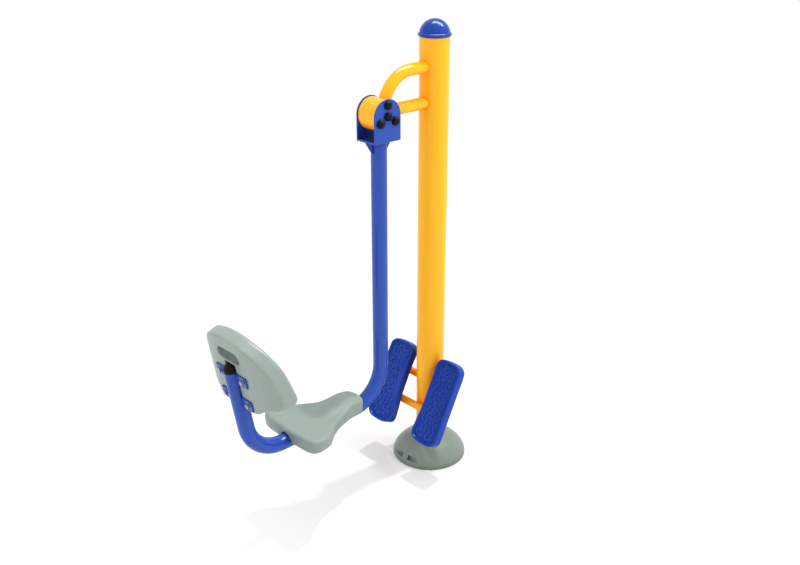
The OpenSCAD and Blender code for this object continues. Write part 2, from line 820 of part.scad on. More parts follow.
// Seat, drawn from above: x forward from its rear edge, y to the rider's left
seat_rear_x = front_bend_c[0] + nose_reach - seat_len;
seat_base_z = seat_line_z + seat_lift;
function seat_half() = let (w = seat_w / 2, h = horn_w / 2, l = seat_len) [
    [0, 0], [1, 0.42 * w], [4, 0.72 * w], [16, 0.93 * w], [41, w], [68, 0.985 * w],
    [92, 0.945 * w], [111, 0.89 * w], [133, 0.765 * w], [166, 0.615 * w], [l - 155, 1.5 * h],
    [l - 118, 1.26 * h], [l - 78, 1.07 * h], [l - 38, h], [l - 14, 0.86 * h],
    [l - 3, 0.48 * h], [l, 0]
];
function smooth(t) = let (u = min(max(t, 0), 1)) u * u * (3 - 2 * u);
function bump(x, y, rx, ry) = exp(-pow(x / rx, 2) - pow(y / ry, 2));
// Height of the upper face: it climbs to the horn, with a hollow for each thigh
function seat_top(x, y) = seat_base_z + seat_t
    + horn_rise * smooth((x - 0.38 * seat_len) / (0.45 * seat_len))
    - nose_drop * smooth((x - 0.78 * seat_len) / (0.22 * seat_len))
    - thigh_depth * bump(x - 0.6 * seat_len, abs(y) - 0.55 * horn_w,
                         thigh_half_len, thigh_half_w)
    - seat_dish * bump(x - 0.22 * seat_len, y, dish_half_len, 0.3 * seat_w);
function seat_place(p, z) = [p[0] + seat_rear_x, p[1], z];

module seat() {
    outline = spline(both_sides(seat_half()), 4);
    spine = [0.2 * seat_len, 0.84 * seat_len];
    // The groove also clears the tube where it begins to climb under the horn.
    groove_rise = arm_bend_r - sqrt(arm_bend_r * arm_bend_r - nose_reach * nose_reach);
    groove_r = arm_r + run_gap;
    foot = inset(outline, seat_draft, -1);
    wall = [for (p = outline) seat_place(p, seat_top(p[0], p[1]) - seat_edge_r)];
    edge = [for (a = [22.5:22.5:90])
        let (ring = inset(outline, seat_edge_r * (1 - cos(a)), -1))
            [for (p = ring) seat_place(p, seat_top(p[0], p[1]) - seat_edge_r * (1 - sin(a)))]
    ];
    face = [for (k = [0.85, 0.66, 0.46, 0.26, 0.08])
        let (ring = drawn_in(inset(outline, seat_edge_r, -1), k, spine[0], spine[1]))
            [for (p = ring) seat_place(p, seat_top(p[0], p[1]))]
    ];
    color(sage) difference() {
        skin(concat([[for (p = foot) seat_place(p, seat_base_z)]], [wall], edge, face));
        translate([seat_rear_x - seat_len, 0, seat_line_z]) rotate([90, 0, 90])
            linear_extrude(3 * seat_len) {
                translate([0, groove_rise]) circle(r = groove_r);
                translate([-groove_r, -groove_r]) square([2 * groove_r, groove_r + groove_rise]);
            }
        for (at = seat_bolt_places()) translate([at[0], at[1], seat_base_z - over])
            cylinder(r = insert_r + weld_gap, h = insert_h + weld_gap + over);
    }
}

// Backrest, in the frame of the back post's end: x forward, y to the left, z up the post.
// Its outline is given as [z, y].
back_rear_x = -2;
function back_half() = let (w = back_w / 2, u = back_up, d = back_down) [
    [u, 0], [u - 4, 0.25 * w], [u - 14, 0.465 * w], [u - 35, 0.655 * w],
    [u - 67, 0.79 * w], [u - 103, 0.885 * w], [u - 145, 0.94 * w], [99 - d, 0.98 * w],
    [71 - d, w],
    [49 - d, 0.97 * w], [39 - d, 0.88 * w], [42 - d, 0.75 * w], [31 - d, 0.635 * w],
    [14 - d, 0.535 * w], [6 - d, 0.4 * w], [1 - d, 0.2 * w], [-d, 0]
];
function back_bend(y) = let (q = max(abs(y) - back_flat / 2, 0))
    back_curve_r - sqrt(back_curve_r * back_curve_r - q * q);
function back_place(p, x) = [x + back_bend(p[1]), p[1], p[0]];

module backrest() {
    outline = spline(both_sides(back_half()), 3);
    crease_r = back_crease_r;
    front_r = back_front_r;
    front_x = back_rear_x + back_t;
    hub = -0.13 * back_down;
    shares = [0.36, 0.5, 0.64, 0.78, 0.9];
    rear_in = inset(outline, crease_r, 1);
    front_in = inset(outline, front_r - back_flare, 1);
    rear = [for (k = shares)
        [for (p = drawn_in(rear_in, k, hub, hub)) back_place(p, back_rear_x)]];
    crease = [for (a = [90:-30:0])
        [for (p = inset(outline, crease_r * (1 - cos(a)), 1))
            back_place(p, back_rear_x + crease_r * (1 - sin(a)))]];
    edge = [for (a = [0:22.5:90])
        [for (p = inset(outline, front_r * (1 - cos(a)) - back_flare, 1))
            back_place(p, front_x - front_r * (1 - sin(a)))]];
    front = [for (i = [4:-1:0])
        [for (p = drawn_in(front_in, shares[i], hub, hub)) back_place(p, front_x)]];
    color(sage) difference() {
        at_back_end() skin(concat(rear, crease, edge, front), fan = true);
        at_back_end() {
            translate([0, 0, -back_post_len])
                cylinder(r = arm_r + run_gap, h = back_post_len + arm_r + run_gap);
            translate([0, 0, slot_up]) rotate([0, 90, 0])
                linear_extrude(3 * back_t, center = true) hand_slot();
            for (at = back_bolt_places()) translate([back_rear_x - over, at[0], at[1]])
                rotate([0, 90, 0])
                    cylinder(r = insert_r + weld_gap, h = insert_h + weld_gap + 2 * over);
        }
    }
}
module hand_slot() {
    reach = (slot_w - slot_h) / 2;
    square([slot_h, 2 * reach], center = true);
    for (side = [-1, 1]) translate([0, side * reach]) circle(d = slot_h);
}

// Tabs are welded to the sides of the tube, and the mouldings are bolted to them.
insert_r = 0.8 * tab_bolt_d;
function seat_bolt_places() = [
    for (k = [0, 1], side = [-1, 1])
        [rear_bend_c[0] + seat_tab_rear + k * seat_tab_pitch, side * tab_bolt_y]
];
function back_bolt_places() = [
    for (k = [0, 1], side = [-1, 1]) [side * tab_bolt_y, -back_tab_top - k * back_tab_pitch]
];
// A pair of tabs across Z, with their upper face at z = 0
module tab_pair() {
    for (side = [-1, 1]) scale([1, side, 1]) difference() {
        translate([-tab_len / 2, 0, -tab_t]) cube([tab_len, tab_reach, tab_t]);
        translate([0, tab_bolt_y, -2 * tab_t])
            cylinder(d = tab_bolt_d + 2 * bolt_gap, h = 3 * tab_t);
    }
}
module seat_tabs() {
    color(blue) difference() {
        at_seat_rail() for (k = [0, 1])
            translate([seat_tab_rear + k * seat_tab_pitch, 0, seat_lift - weld_gap]) tab_pair();
        rail_rod(arm_r + weld_gap);
    }
}
module back_tabs(row) {
    color(blue) difference() {
        at_back_end() translate([back_rear_x - weld_gap, 0, -back_tab_top - row * back_tab_pitch])
            rotate([0, 90, 0]) tab_pair();
        at_back_end() translate([0, 0, -back_post_len])
            cylinder(r = arm_r + weld_gap, h = 2 * back_post_len);
    }
}
module back_tabs_upper() back_tabs(0);
module back_tabs_lower() back_tabs(1);

// A bolt, washer or insert at each tab hole, drawn along Z with the tab below z = 0
tab_bolt_len = washer_t(tab_bolt_d) + tab_t + insert_h - 2 * insert_end;
module at_seat_bolts() {
    for (at = seat_bolt_places()) translate([at[0], at[1], seat_base_z - weld_gap]) children();
}
module at_back_bolts() {
    at_back_end() for (at = back_bolt_places())
        translate([back_rear_x - weld_gap, at[0], at[1]]) rotate([0, 90, 0]) children();
}
module tab_bolt() {
    translate([0, 0, -tab_t - washer_t(tab_bolt_d) - 2 * weld_gap]) rotate([180, 0, 0])
        hex_bolt(tab_bolt_d, tab_bolt_len);
}
module tab_washer() {
    translate([0, 0, -tab_t - washer_t(tab_bolt_d) - weld_gap]) washer(tab_bolt_d);
}
module tab_insert() {
    translate([0, 0, 4 * weld_gap]) difference() {
        cylinder(r = insert_r, h = insert_h - 5 * weld_gap);
        translate([0, 0, -over])
            cylinder(d = tab_bolt_d + 2 * bolt_gap, h = insert_h - insert_end);
    }
}
module seat_bolts() color(zinc) at_seat_bolts() tab_bolt();
module seat_washers() color(zinc) at_seat_bolts() tab_washer();
module seat_inserts() color(brass) at_seat_bolts() tab_insert();
module back_bolts() color(zinc) at_back_bolts() tab_bolt();
module back_washers() color(zinc) at_back_bolts() tab_washer();
module back_inserts() color(brass) at_back_bolts() tab_insert();

// Cross bars between the two carriers. The lower one lies across the front of the post.
bar_r = bar_d / 2;
bar_low = [-post_r - bar_r + bar_inset, bar_low_z];
bar_high = [0, bar_high_z];
bar_len = 2 * (pedal_y - carrier_t / 2 - weld_gap);
module bar_lower_body(grow) {
    rod_y(bar_low, bar_r + grow, bar_len);
}
module bar_lower() {
    color(yellow) difference() {
        bar_lower_body(0);
        rod_y(bar_low, bar_r - bar_wall, bar_len + 2 * over);
    }
}
module bar_upper() {
    color(yellow) difference() {
        rod_y(bar_high, bar_r, bar_len);
        rod_y(bar_high, bar_r - bar_wall, bar_len + 2 * over);
    }
}

// A point [x, z] of the machine in the frame of a foot plate, as [depth, height]
function in_pedal(p) = let (q = p - [-pedal_reach, pedal_z]) [
    q[0] * cos(pedal_lean) - q[1] * sin(pedal_lean),
    q[0] * sin(pedal_lean) + q[1] * cos(pedal_lean)
];

// Carrier: a flange behind the foot plate, and a web that joins it to both bars.
module carrier(side) {
    low = in_pedal(bar_low);
    high = in_pedal(bar_high);
    flange_x = pedal_t + weld_gap;
    eye_r = bar_r + eye_wall;
    color(yellow) at_pedal(side) {
        difference() {
            translate([flange_x, -flange_w / 2, -flange_len / 2])
                cube([carrier_t, flange_w, flange_len]);
            pedal_bolt_holes(flange_x - over, carrier_t + 2 * over);
        }
        translate([0, carrier_t / 2, 0]) rotate([90, 0, 0]) linear_extrude(carrier_t) {
            polygon([
                [flange_x + 1, -0.46 * flange_len], [low[0], low[1] - eye_r],
                [high[0] + eye_r * 0.7, high[1] - eye_r * 0.7], [high[0], high[1] + eye_r],
                [flange_x + 1, 0.46 * flange_len]
            ]);
            translate(low) circle(r = eye_r);
            translate(high) circle(r = eye_r);
        }
    }
}
module carrier_left() carrier(1);
module carrier_right() carrier(-1);

// Places of the bolts, as [across, up] in the frame of a foot plate
function pedal_bolt_places() = [
    for (y = [-1, 1], z = [-1, 1]) [y * 0.35 * flange_w, z * 0.4 * flange_len]
];
module pedal_bolt_holes(from, len) {
    for (at = pedal_bolt_places()) translate([from, at[0], at[1]]) rotate([0, 90, 0])
        cylinder(d = pedal_bolt_d + 2 * bolt_gap, h = len);
}

// Outline of a foot plate, as [up, out]. The heel is wide and the inner edge drawn in
// above it; the outer edge is straight.
function pedal_outline() = let (l = pedal_len / 2, w = pedal_w / 2, i = w - pedal_waist) [
    [-l, 0], [4 - l, 0.6 * w], [18 - l, 0.9 * w], [40 - l, w], [-0.3 * l, w], [0, w],
    [0.3 * l, w], [l - 40, w], [l - 17, 0.88 * w], [l - 3, 0.55 * w],
    [l, 0], [l - 3, -0.62 * i], [l - 16, -0.92 * i], [l - 38, -1.04 * i], [l - 90, -i],
    [-0.18 * l, -i], [-0.46 * l, -0.93 * w], [38 - l, -w], [14 - l, -0.86 * w],
    [3 - l, -0.5 * w]
];
// The face of the rim is at x = 0, and the plate lies behind it.
module pedal(side) {
    outline = spline(pedal_outline(), 4);
    back_r = pedal_back_r;
    rim_r = rim_w / 2;
    function ring(d, x) = [for (p = inset(outline, d, -1)) [x, p[1], p[0]]];
    back = [for (a = [90:-30:0]) ring(back_r * (1 - cos(a)), pedal_t - back_r * (1 - sin(a)))];
    rim = [for (a = [0:22.5:180]) ring(rim_r * (1 - cos(a)), rim_r * (1 - sin(a)))];
    color(pedal_blue) at_pedal(side) difference() {
        skin(concat(back, rim, [ring(2 * rim_r + 0.5, rim_r + rim_h)]));
        pedal_bolt_holes(0.4 * pedal_t, pedal_t);
    }
}
module pedal_left() pedal(1);
module pedal_right() pedal(-1);

module at_pedal_bolts() {
    for (side = [-1, 1]) at_pedal(side) for (at = pedal_bolt_places())
        translate([pedal_t + carrier_t + 2 * weld_gap, at[0], at[1]]) rotate([0, 90, 0])
            children();
}
module pedal_bolts() {
    len = 0.55 * pedal_t + carrier_t + washer_t(pedal_bolt_d);
    color(zinc) at_pedal_bolts() translate([0, 0, washer_t(pedal_bolt_d) + weld_gap])
        hex_bolt(pedal_bolt_d, len);
}
module pedal_washers() color(zinc) at_pedal_bolts() washer(pedal_bolt_d);

post();
post_cap();
foot_plate();
foot_ribs();
cover_left();
cover_right();
cover_screws();
cover_nuts();
bracket_upper();
bracket_lower();
bearing_drum();
bearing_outer_rings();
bearing_balls();
bearing_seals();
bar_lower();
bar_upper();
carrier_left();
carrier_right();
pedal_left();
pedal_right();
pedal_bolts();
pedal_washers();
fork_plate_left();
fork_plate_right();
fork_crown();
fork_gussets();
axle();
axle_bolts();
axle_spacers();
bearing_inner_rings();
tie_bolts();
tie_nuts();
fork_washers();
stop_sleeves();
bolt_caps_left();
bolt_caps_right();
arm_tube();
back_tube();
arm_end_cap();
seat();
seat_tabs();
seat_bolts();
seat_washers();
seat_inserts();
backrest();
back_tabs_upper();
back_tabs_lower();
back_bolts();
back_washers();
back_inserts();
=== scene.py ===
# %% [markdown]
# An outdoor leg press machine. The metal frame, the tubes and the fasteners come from the
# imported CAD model. This lesson dresses them: it lights them, gives each a finish, and
# rebuilds the moulded pieces with the soft edges and the fine grain of the real ones.

import math

import bmesh
import bpy
import numpy as np
from mathutils import Matrix, Vector
from mathutils.geometry import delaunay_2d_cdt


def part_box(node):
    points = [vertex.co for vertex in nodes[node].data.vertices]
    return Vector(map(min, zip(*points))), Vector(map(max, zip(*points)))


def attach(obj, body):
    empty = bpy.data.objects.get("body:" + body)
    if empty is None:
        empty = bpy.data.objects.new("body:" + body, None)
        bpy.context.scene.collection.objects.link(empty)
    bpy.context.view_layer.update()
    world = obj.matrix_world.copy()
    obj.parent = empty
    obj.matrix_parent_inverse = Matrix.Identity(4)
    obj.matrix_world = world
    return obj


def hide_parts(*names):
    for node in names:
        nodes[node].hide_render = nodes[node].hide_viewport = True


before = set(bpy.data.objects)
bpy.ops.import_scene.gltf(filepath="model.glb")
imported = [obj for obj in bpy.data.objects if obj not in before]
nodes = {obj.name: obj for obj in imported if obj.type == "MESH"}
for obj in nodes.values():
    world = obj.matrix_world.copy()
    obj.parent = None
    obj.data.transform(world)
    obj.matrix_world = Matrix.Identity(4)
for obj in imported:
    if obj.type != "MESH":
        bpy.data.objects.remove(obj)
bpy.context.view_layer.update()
MM = 0.001
print("CAD nodes:", len(nodes))

# %% [markdown]
# The photograph was taken from the rider's right, from above and behind the seat. A camera
# with a moderate lens, aimed without tilt or shift, gives the same lines. Its place was
# worked out from the edges of the post, the drum and the foot cover.

# %% Camera
CAMERA_PLACE = Vector((-2.53048, -2.50039, 2.33429))
CAMERA_TARGET = Vector((-0.17347, 0.0, 0.84799))
CAMERA_LENS, CAMERA_SENSOR = 43.21, 36.0

camera_data = bpy.data.cameras.new("camera")
camera_data.lens = CAMERA_LENS
camera_data.sensor_width = CAMERA_SENSOR
camera_data.sensor_fit = "HORIZONTAL"
camera = bpy.data.objects.new("camera", camera_data)
camera.location = CAMERA_PLACE
camera.rotation_euler = (CAMERA_TARGET - CAMERA_PLACE).to_track_quat("-Z", "Y").to_euler()
bpy.context.scene.collection.objects.link(camera)
bpy.context.scene.camera = camera
print("camera distance:", round((CAMERA_TARGET - CAMERA_PLACE).length, 3))

# %% [markdown]
# Materials and groups are trees of nodes. A few small helpers keep the cells short. The
# first adds a node: a socket among its values is linked, and anything else is set. The
# next ones add the kinds that come back most often and return their result, so that a
# chain of nodes reads like a formula.

# %% Node helpers
def add_node(tree, kind, sockets=None, **settings):
    node = tree.nodes.new(kind)
    for key, value in settings.items():
        setattr(node, key, value)
    for key, value in (sockets or {}).items():
        if isinstance(value, bpy.types.NodeSocket):
            tree.links.new(value, node.inputs[key])
        else:
            node.inputs[key].default_value = value
    return node


def maths(tree, operation, *values):
    node = add_node(tree, "ShaderNodeMath", dict(enumerate(values)), operation=operation)
    return node.outputs[0]


def ramp(tree, value, low, high, to_low=0.0, to_high=1.0):
    """The value's place between low and high, as a place between to_low and to_high."""
    node = add_node(tree, "ShaderNodeMapRange", {"Value": value, "From Min": low,
                                                 "From Max": high, "To Min": to_low,
                                                 "To Max": to_high})
    return node.outputs["Result"]


def mix(tree, share, first, second, kind="RGBA"):
    node = add_node(tree, "ShaderNodeMix", {"Factor": share, "A": first, "B": second},
                    data_type=kind)
    return node.outputs["Result"]


def noise(tree, place, scale, detail, roughness=0.5):
    node = add_node(tree, "ShaderNodeTexNoise", {"Vector": place, "Scale": scale,
                                                 "Detail": detail, "Roughness": roughness})
    return node.outputs["Fac"]


def on_object(tree):
    """The point's own coordinates on the object, in metres, which don't move with it."""
    return add_node(tree, "ShaderNodeTexCoord").outputs["Object"]


# %% [markdown]
# An effect that several materials share is a node group, built once. Its sockets have
# names and starting values, and each material places it with values of its own. Colours
# are written as on a paint card and turned into the linear values that shaders use.

# %% Group and colour helpers
FLOAT, COLOR = "NodeSocketFloat", "NodeSocketColor"


def new_group(name, inputs, outputs):
    group = bpy.data.node_groups.new(name, "ShaderNodeTree")
    for label, kind, value in inputs:
        socket = group.interface.new_socket(label, in_out="INPUT", socket_type=kind)
        socket.default_value = value
    for label, kind in outputs:
        group.interface.new_socket(label, in_out="OUTPUT", socket_type=kind)
    given, result = group.nodes.new("NodeGroupInput"), group.nodes.new("NodeGroupOutput")
    print("group", name, "puts out", [label for label, kind in outputs])
    return group, given.outputs, result.inputs


def place_group(tree, group, sockets):
    return add_node(tree, "ShaderNodeGroup", sockets, node_tree=group)


def linear(code):
    parts = [int(code[i:i + 2], 16) / 255 for i in (1, 3, 5)]
    return tuple(c / 12.92 if c <= 0.04045 else ((c + 0.055) / 1.055) ** 2.4
                 for c in parts) + (1.0,)


# %% [markdown]
# The machine stands in an even, bright studio. The world glows from all round and gives
# most of the light. It is dimmer on the seat's side and below, which gives the round tubes
# their soft dark band. To the camera and in reflections the world is plain white.

# %% World
WHITE = (1, 1, 1, 1)
BRIGHT_WAY = (0.72, -0.32, 0.45)
DIM_AT, BRIGHT_AT = -0.9, 0.9
DIM_LEVEL, BRIGHT_LEVEL = 0.58, 1.06

world = bpy.data.worlds.new("studio")
world.use_nodes = True
bpy.context.scene.world = world
tree = world.node_tree
tree.nodes.clear()
way = add_node(tree, "ShaderNodeTexCoord").outputs["Generated"]
aim = add_node(tree, "ShaderNodeVectorMath", {0: way, 1: BRIGHT_WAY}, operation="DOT_PRODUCT")
level = ramp(tree, aim.outputs["Value"], DIM_AT, BRIGHT_AT, DIM_LEVEL, BRIGHT_LEVEL)
ray = add_node(tree, "ShaderNodeLightPath").outputs
seen = maths(tree, "MAXIMUM", ray["Is Camera Ray"], ray["Is Transmission Ray"])
seen = maths(tree, "MAXIMUM", seen, ray["Is Glossy Ray"])
strength = mix(tree, seen, level, 1.0, "FLOAT")
back = add_node(tree, "ShaderNodeBackground", {"Color": WHITE, "Strength": strength})
add_node(tree, "ShaderNodeOutputWorld", {"Surface": back.outputs[0]})
print("world from", DIM_LEVEL, "to", BRIGHT_LEVEL)

# %% [markdown]
# Four lamps add what an even glow can't. The key is a small sun almost overhead, which
# draws the pale shadows on the floor. The fill is a very wide sun, low on the seat's side,
# and the softbox a panel high on the post's side. None of these three shows in a
# reflection. The strip does only that: it is a long panel overhead that lights nothing,
# and makes the glints on the cap, the tubes and the rims of the foot plates.

# %% Lamps
KEY_FROM, KEY_POWER, KEY_WIDE = (0.27, -0.03, 1.0), 1.15, math.radians(1.6)
FILL_FROM, FILL_POWER, FILL_WIDE = (-0.87, 0.5, 0.2), 0.7, math.radians(40)
BOX_FROM, BOX_TARGET, BOX_POWER, BOX_SIZE = (1.2, -2.4, 3.2), (-0.3, 0, 0.9), 44, (1.0, 0.5)
STRIP_CENTRE = Vector((0.0, 0.0, 1.2))
STRIP_ENDS = (Vector((0.03, 0.28, 0.96)), Vector((0.53, -0.39, 0.75)))
STRIP_AWAY, STRIP_WIDE, STRIP_POWER = 5.0, 1.25, 340


def add_lamp(name, kind, place, target, power, size):
    data = bpy.data.lights.new(name, kind)
    data.energy = power
    if kind == "SUN":
        data.angle = size
    else:
        data.shape = "RECTANGLE"
        data.size, data.size_y = size
    lamp = bpy.data.objects.new(name, data)
    lamp.location = place
    aim = Vector(target) - Vector(place)
    lamp.rotation_euler = aim.to_track_quat("-Z", "Y").to_euler()
    bpy.context.scene.collection.objects.link(lamp)
    print("lamp", name, "at", [round(v, 2) for v in place])
    return lamp


soft_lamps = [add_lamp("key", "SUN", KEY_FROM, (0, 0, 0), KEY_POWER, KEY_WIDE),
              add_lamp("fill", "SUN", FILL_FROM, (0, 0, 0), FILL_POWER, FILL_WIDE),
              add_lamp("softbox", "AREA", BOX_FROM, BOX_TARGET, BOX_POWER, BOX_SIZE)]
for lamp in soft_lamps:
    lamp.visible_glossy = False

first, last = (STRIP_CENTRE + STRIP_AWAY * way.normalized() for way in STRIP_ENDS)
middle = (first + last) / 2
along = (last - first).normalized()
strip = add_lamp("strip", "AREA", middle, STRIP_CENTRE, STRIP_POWER,
                 ((last - first).length, STRIP_WIDE))
back = (middle - STRIP_CENTRE).normalized()
strip.rotation_euler = Matrix((along, back.cross(along), back)).transposed().to_euler()
strip.visible_diffuse = False

# %% [markdown]
# The floor is a pale disc. What the camera sees of it is a grey that reflects the lamps,
# so it holds the shadow, and a glow that makes up the rest to white. Away from the post
# the glow takes over, and the shadow fades as it does in the photograph. Every other ray
# meets a plain pale floor, which lights the machine from below.

# %% Floor
FLOOR_REACH = 9.0
NEAR_POST, FAR_OUT = 0.2, 1.1
GREY_NEAR, GREY_FAR = 0.58, 0.22
GLOW_NEAR, GLOW_FAR = 0.25, 0.78
PLAIN_TONE, SPECKLE, SPECKLE_SCALE = 0.77, 0.02, 3.0

floor_mesh = bpy.data.meshes.new("floor")
bm = bmesh.new()
bmesh.ops.create_circle(bm, cap_ends=True, segments=96, radius=FLOOR_REACH)
bm.to_mesh(floor_mesh)
bm.free()
floor = bpy.data.objects.new("floor", floor_mesh)
bpy.context.scene.collection.objects.link(floor)
material = bpy.data.materials.new("pale_floor")
material.use_nodes = True
tree = material.node_tree
tree.nodes.clear()
to_camera = add_node(tree, "ShaderNodeLightPath").outputs["Is Camera Ray"]
place = on_object(tree)
reach = add_node(tree, "ShaderNodeVectorMath", {0: place}, operation="LENGTH")
far = ramp(tree, reach.outputs["Value"], NEAR_POST, FAR_OUT)
speck = noise(tree, place, SPECKLE_SCALE, detail=4.0)
grey = maths(tree, "MULTIPLY_ADD", speck, SPECKLE,
             ramp(tree, far, 0.0, 1.0, GREY_NEAR, GREY_FAR))
shade = mix(tree, to_camera, PLAIN_TONE, grey, "FLOAT")
tint = add_node(tree, "ShaderNodeCombineColor", {0: shade, 1: shade, 2: shade})
plain = add_node(tree, "ShaderNodeBsdfDiffuse", {"Color": tint.outputs[0]})
light = ramp(tree, far, 0.0, 1.0, GLOW_NEAR, GLOW_FAR)
glow = add_node(tree, "ShaderNodeEmission", {"Color": WHITE, "Strength": light})
both = add_node(tree, "ShaderNodeAddShader", {0: plain.outputs[0], 1: glow.outputs[0]})
mixed = add_node(tree, "ShaderNodeMixShader", {0: to_camera, 1: plain.outputs[0],
                                               2: both.outputs[0]})
add_node(tree, "ShaderNodeOutputMaterial", {"Surface": mixed.outputs[0]})
floor_mesh.materials.append(material)
bpy.context.scene.view_settings.view_transform = "Standard"
print("floor reaches", FLOOR_REACH, "m")

# %% [markdown]
# The first shared effect is the faint unevenness that every real surface has: a slow drift
# of tone and a finer one, and how far they make it duller. Noise at two scales gives both.

# %% Shared effect: drift of tone
FINER = 14.0
DRIFT_FROM, DRIFT_FULL = 0.12, 0.42
DULL_FROM, DULL_FULL = 0.3, 0.7

drift, given, result = new_group(
    "tone_drift",
    [("Colour", COLOR, (0.5, 0.5, 0.5, 1)), ("Second Colour", COLOR, (0.4, 0.4, 0.4, 1)),
     ("Amount", FLOAT, 0.2), ("Scale", FLOAT, 6.0),
     ("Low Roughness", FLOAT, 0.3), ("High Roughness", FLOAT, 0.4)],
    [("Colour", COLOR), ("Roughness", FLOAT)])
place = on_object(drift)
slow = noise(drift, place, given["Scale"], detail=5.0, roughness=0.6)
fast = noise(drift, place, maths(drift, "MULTIPLY", given["Scale"], FINER), detail=3.0)
share = ramp(drift, maths(drift, "MULTIPLY", slow, fast), DRIFT_FROM, DRIFT_FULL)
amount = maths(drift, "MULTIPLY", share, given["Amount"])
colour = mix(drift, amount, given["Colour"], given["Second Colour"])
dull = ramp(drift, fast, DULL_FROM, DULL_FULL, given["Low Roughness"],
            given["High Roughness"])
drift.links.new(colour, result["Colour"])
drift.links.new(dull, result["Roughness"])

# %% [markdown]
# Powder paint melts into a skin that is never quite flat: makers call it orange peel. Noise
# with a second, finer octave gives its height.

# %% Shared effect: orange peel
peel, given, result = new_group("orange_peel", [("Scale", FLOAT, 260.0)],
                                [("Height", FLOAT)])
waves = noise(peel, on_object(peel), given["Scale"], detail=2.0, roughness=0.45)
peel.links.new(waves, result["Height"])

# %% [markdown]
# Moulded plastic has a finer and sharper grain, which is etched into the mould. Small
# rounded cells give it, on top of slower waves.

# %% Shared effect: moulded grain
SLOWER = 0.3

grain, given, result = new_group("moulded_grain", [("Scale", FLOAT, 700.0)],
                                 [("Height", FLOAT)])
place = on_object(grain)
cells = add_node(grain, "ShaderNodeTexVoronoi", {"Vector": place, "Scale": given["Scale"]},
                 feature="SMOOTH_F1")
waves = noise(grain, place, maths(grain, "MULTIPLY", given["Scale"], SLOWER), detail=3.0)
height = maths(grain, "ADD", cells.outputs["Distance"], waves)
grain.links.new(height, result["Height"])

# %% [markdown]
# Corners lose their gloss first. Cycles can tell how much a surface bends outwards at a
# point, which it calls pointiness. A mask made from it, broken up by noise, marks corners
# that hands and boots have rubbed. Where the surface bends inwards the same value marks
# hollows, which are painted darker as painted shade. Dust settles low on a machine that
# stands outdoors, so another mask grows towards the ground.

# %% Shared effect: rubbed edges, dust and painted shade in hollows
DUST_COLOUR = "#b3aca0"
DUST_TOP = 0.09
CHIP_SCALE, CLOUD_SCALE = 90.0, 38.0
SHARP_FROM, SHARP_FULL = 0.53, 0.62
CHIP_FROM, CHIP_FULL = 0.42, 0.6
HOLLOW_FROM, HOLLOW_FULL, HOLLOW_SHADE = 0.495, 0.44, 0.22

wear_and_shade, given, result = new_group(
    "rubbed_and_dusty",
    [("Colour", COLOR, (0.5, 0.5, 0.5, 1)), ("Rubbed Colour", COLOR, (0.7, 0.7, 0.7, 1)),
     ("Rubbed", FLOAT, 0.3), ("Dust", FLOAT, 0.3), ("Hollow", FLOAT, 0.3)],
    [("Colour", COLOR), ("Edge", FLOAT)])
place = on_object(wear_and_shade)
bend = add_node(wear_and_shade, "ShaderNodeNewGeometry").outputs["Pointiness"]
sharp = ramp(wear_and_shade, bend, SHARP_FROM, SHARP_FULL)
broken = ramp(wear_and_shade, noise(wear_and_shade, place, CHIP_SCALE, detail=5.0), CHIP_FROM, CHIP_FULL)
edge = maths(wear_and_shade, "MULTIPLY", maths(wear_and_shade, "MULTIPLY", sharp, broken), given["Rubbed"])
rubbed = mix(wear_and_shade, edge, given["Colour"], given["Rubbed Colour"])
apart = add_node(wear_and_shade, "ShaderNodeSeparateXYZ", {"Vector": place})
low = ramp(wear_and_shade, apart.outputs["Z"], 0.0, DUST_TOP, 1.0, 0.0)
cloud = maths(wear_and_shade, "MULTIPLY", low, noise(wear_and_shade, place, CLOUD_SCALE, detail=6.0))
dusted = mix(wear_and_shade, maths(wear_and_shade, "MULTIPLY", cloud, given["Dust"]), rubbed,
             linear(DUST_COLOUR))
# Painted shade: where the surface bends inwards, the colour is darkened towards HOLLOW_SHADE
# of itself.
deep = maths(wear_and_shade, "MULTIPLY", ramp(wear_and_shade, bend, HOLLOW_FROM, HOLLOW_FULL),
             given["Hollow"])
darker = add_node(wear_and_shade, "ShaderNodeVectorMath", {0: dusted, "Scale": HOLLOW_SHADE},
                  operation="SCALE")
wear_and_shade.links.new(mix(wear_and_shade, deep, dusted, darker.outputs["Vector"]), result["Colour"])
wear_and_shade.links.new(edge, result["Edge"])

# %% [markdown]
# Where two parts meet, the colour is painted darker: a painted shade for the light that is
# shut out there and that bounces between them, taking on more of their colour. A mask of how
# closed in a point is mixes the colour with itself multiplied, so that a yellow joint turns
# orange and a blue one almost black.

# %% Shared effect: painted shade in deep corners
OPEN_SKY, CLOSED_IN = 0.95, 0.4

corner, given, result = new_group(
    "deep_corners", [("Colour", COLOR, (0.5, 0.5, 0.5, 1)), ("Reach", FLOAT, 0.08),
                     ("Amount", FLOAT, 0.6)], [("Colour", COLOR)])
sky = add_node(corner, "ShaderNodeAmbientOcclusion", {"Distance": given["Reach"]}, samples=8)
shut = ramp(corner, sky.outputs["AO"], OPEN_SKY, CLOSED_IN)
twice = add_node(corner, "ShaderNodeVectorMath", {0: given["Colour"], 1: given["Colour"]},
                 operation="MULTIPLY")
deeper = mix(corner, maths(corner, "MULTIPLY", shut, given["Amount"]), given["Colour"],
             twice.outputs["Vector"])
corner.links.new(deeper, result["Colour"])

# %% [markdown]
# A finish is the same few steps each time: tone drift, then rubbed edges, dust and painted
# shade in hollows, then painted shade in deep corners, and a bump for the fine relief, all
# into one Principled shader. One function builds it, and each finish is a call with its own
# colours and numbers. Values that are the same all over are set on the shader itself.

# %% Finish builder
RUBBED_DULLS = 0.25


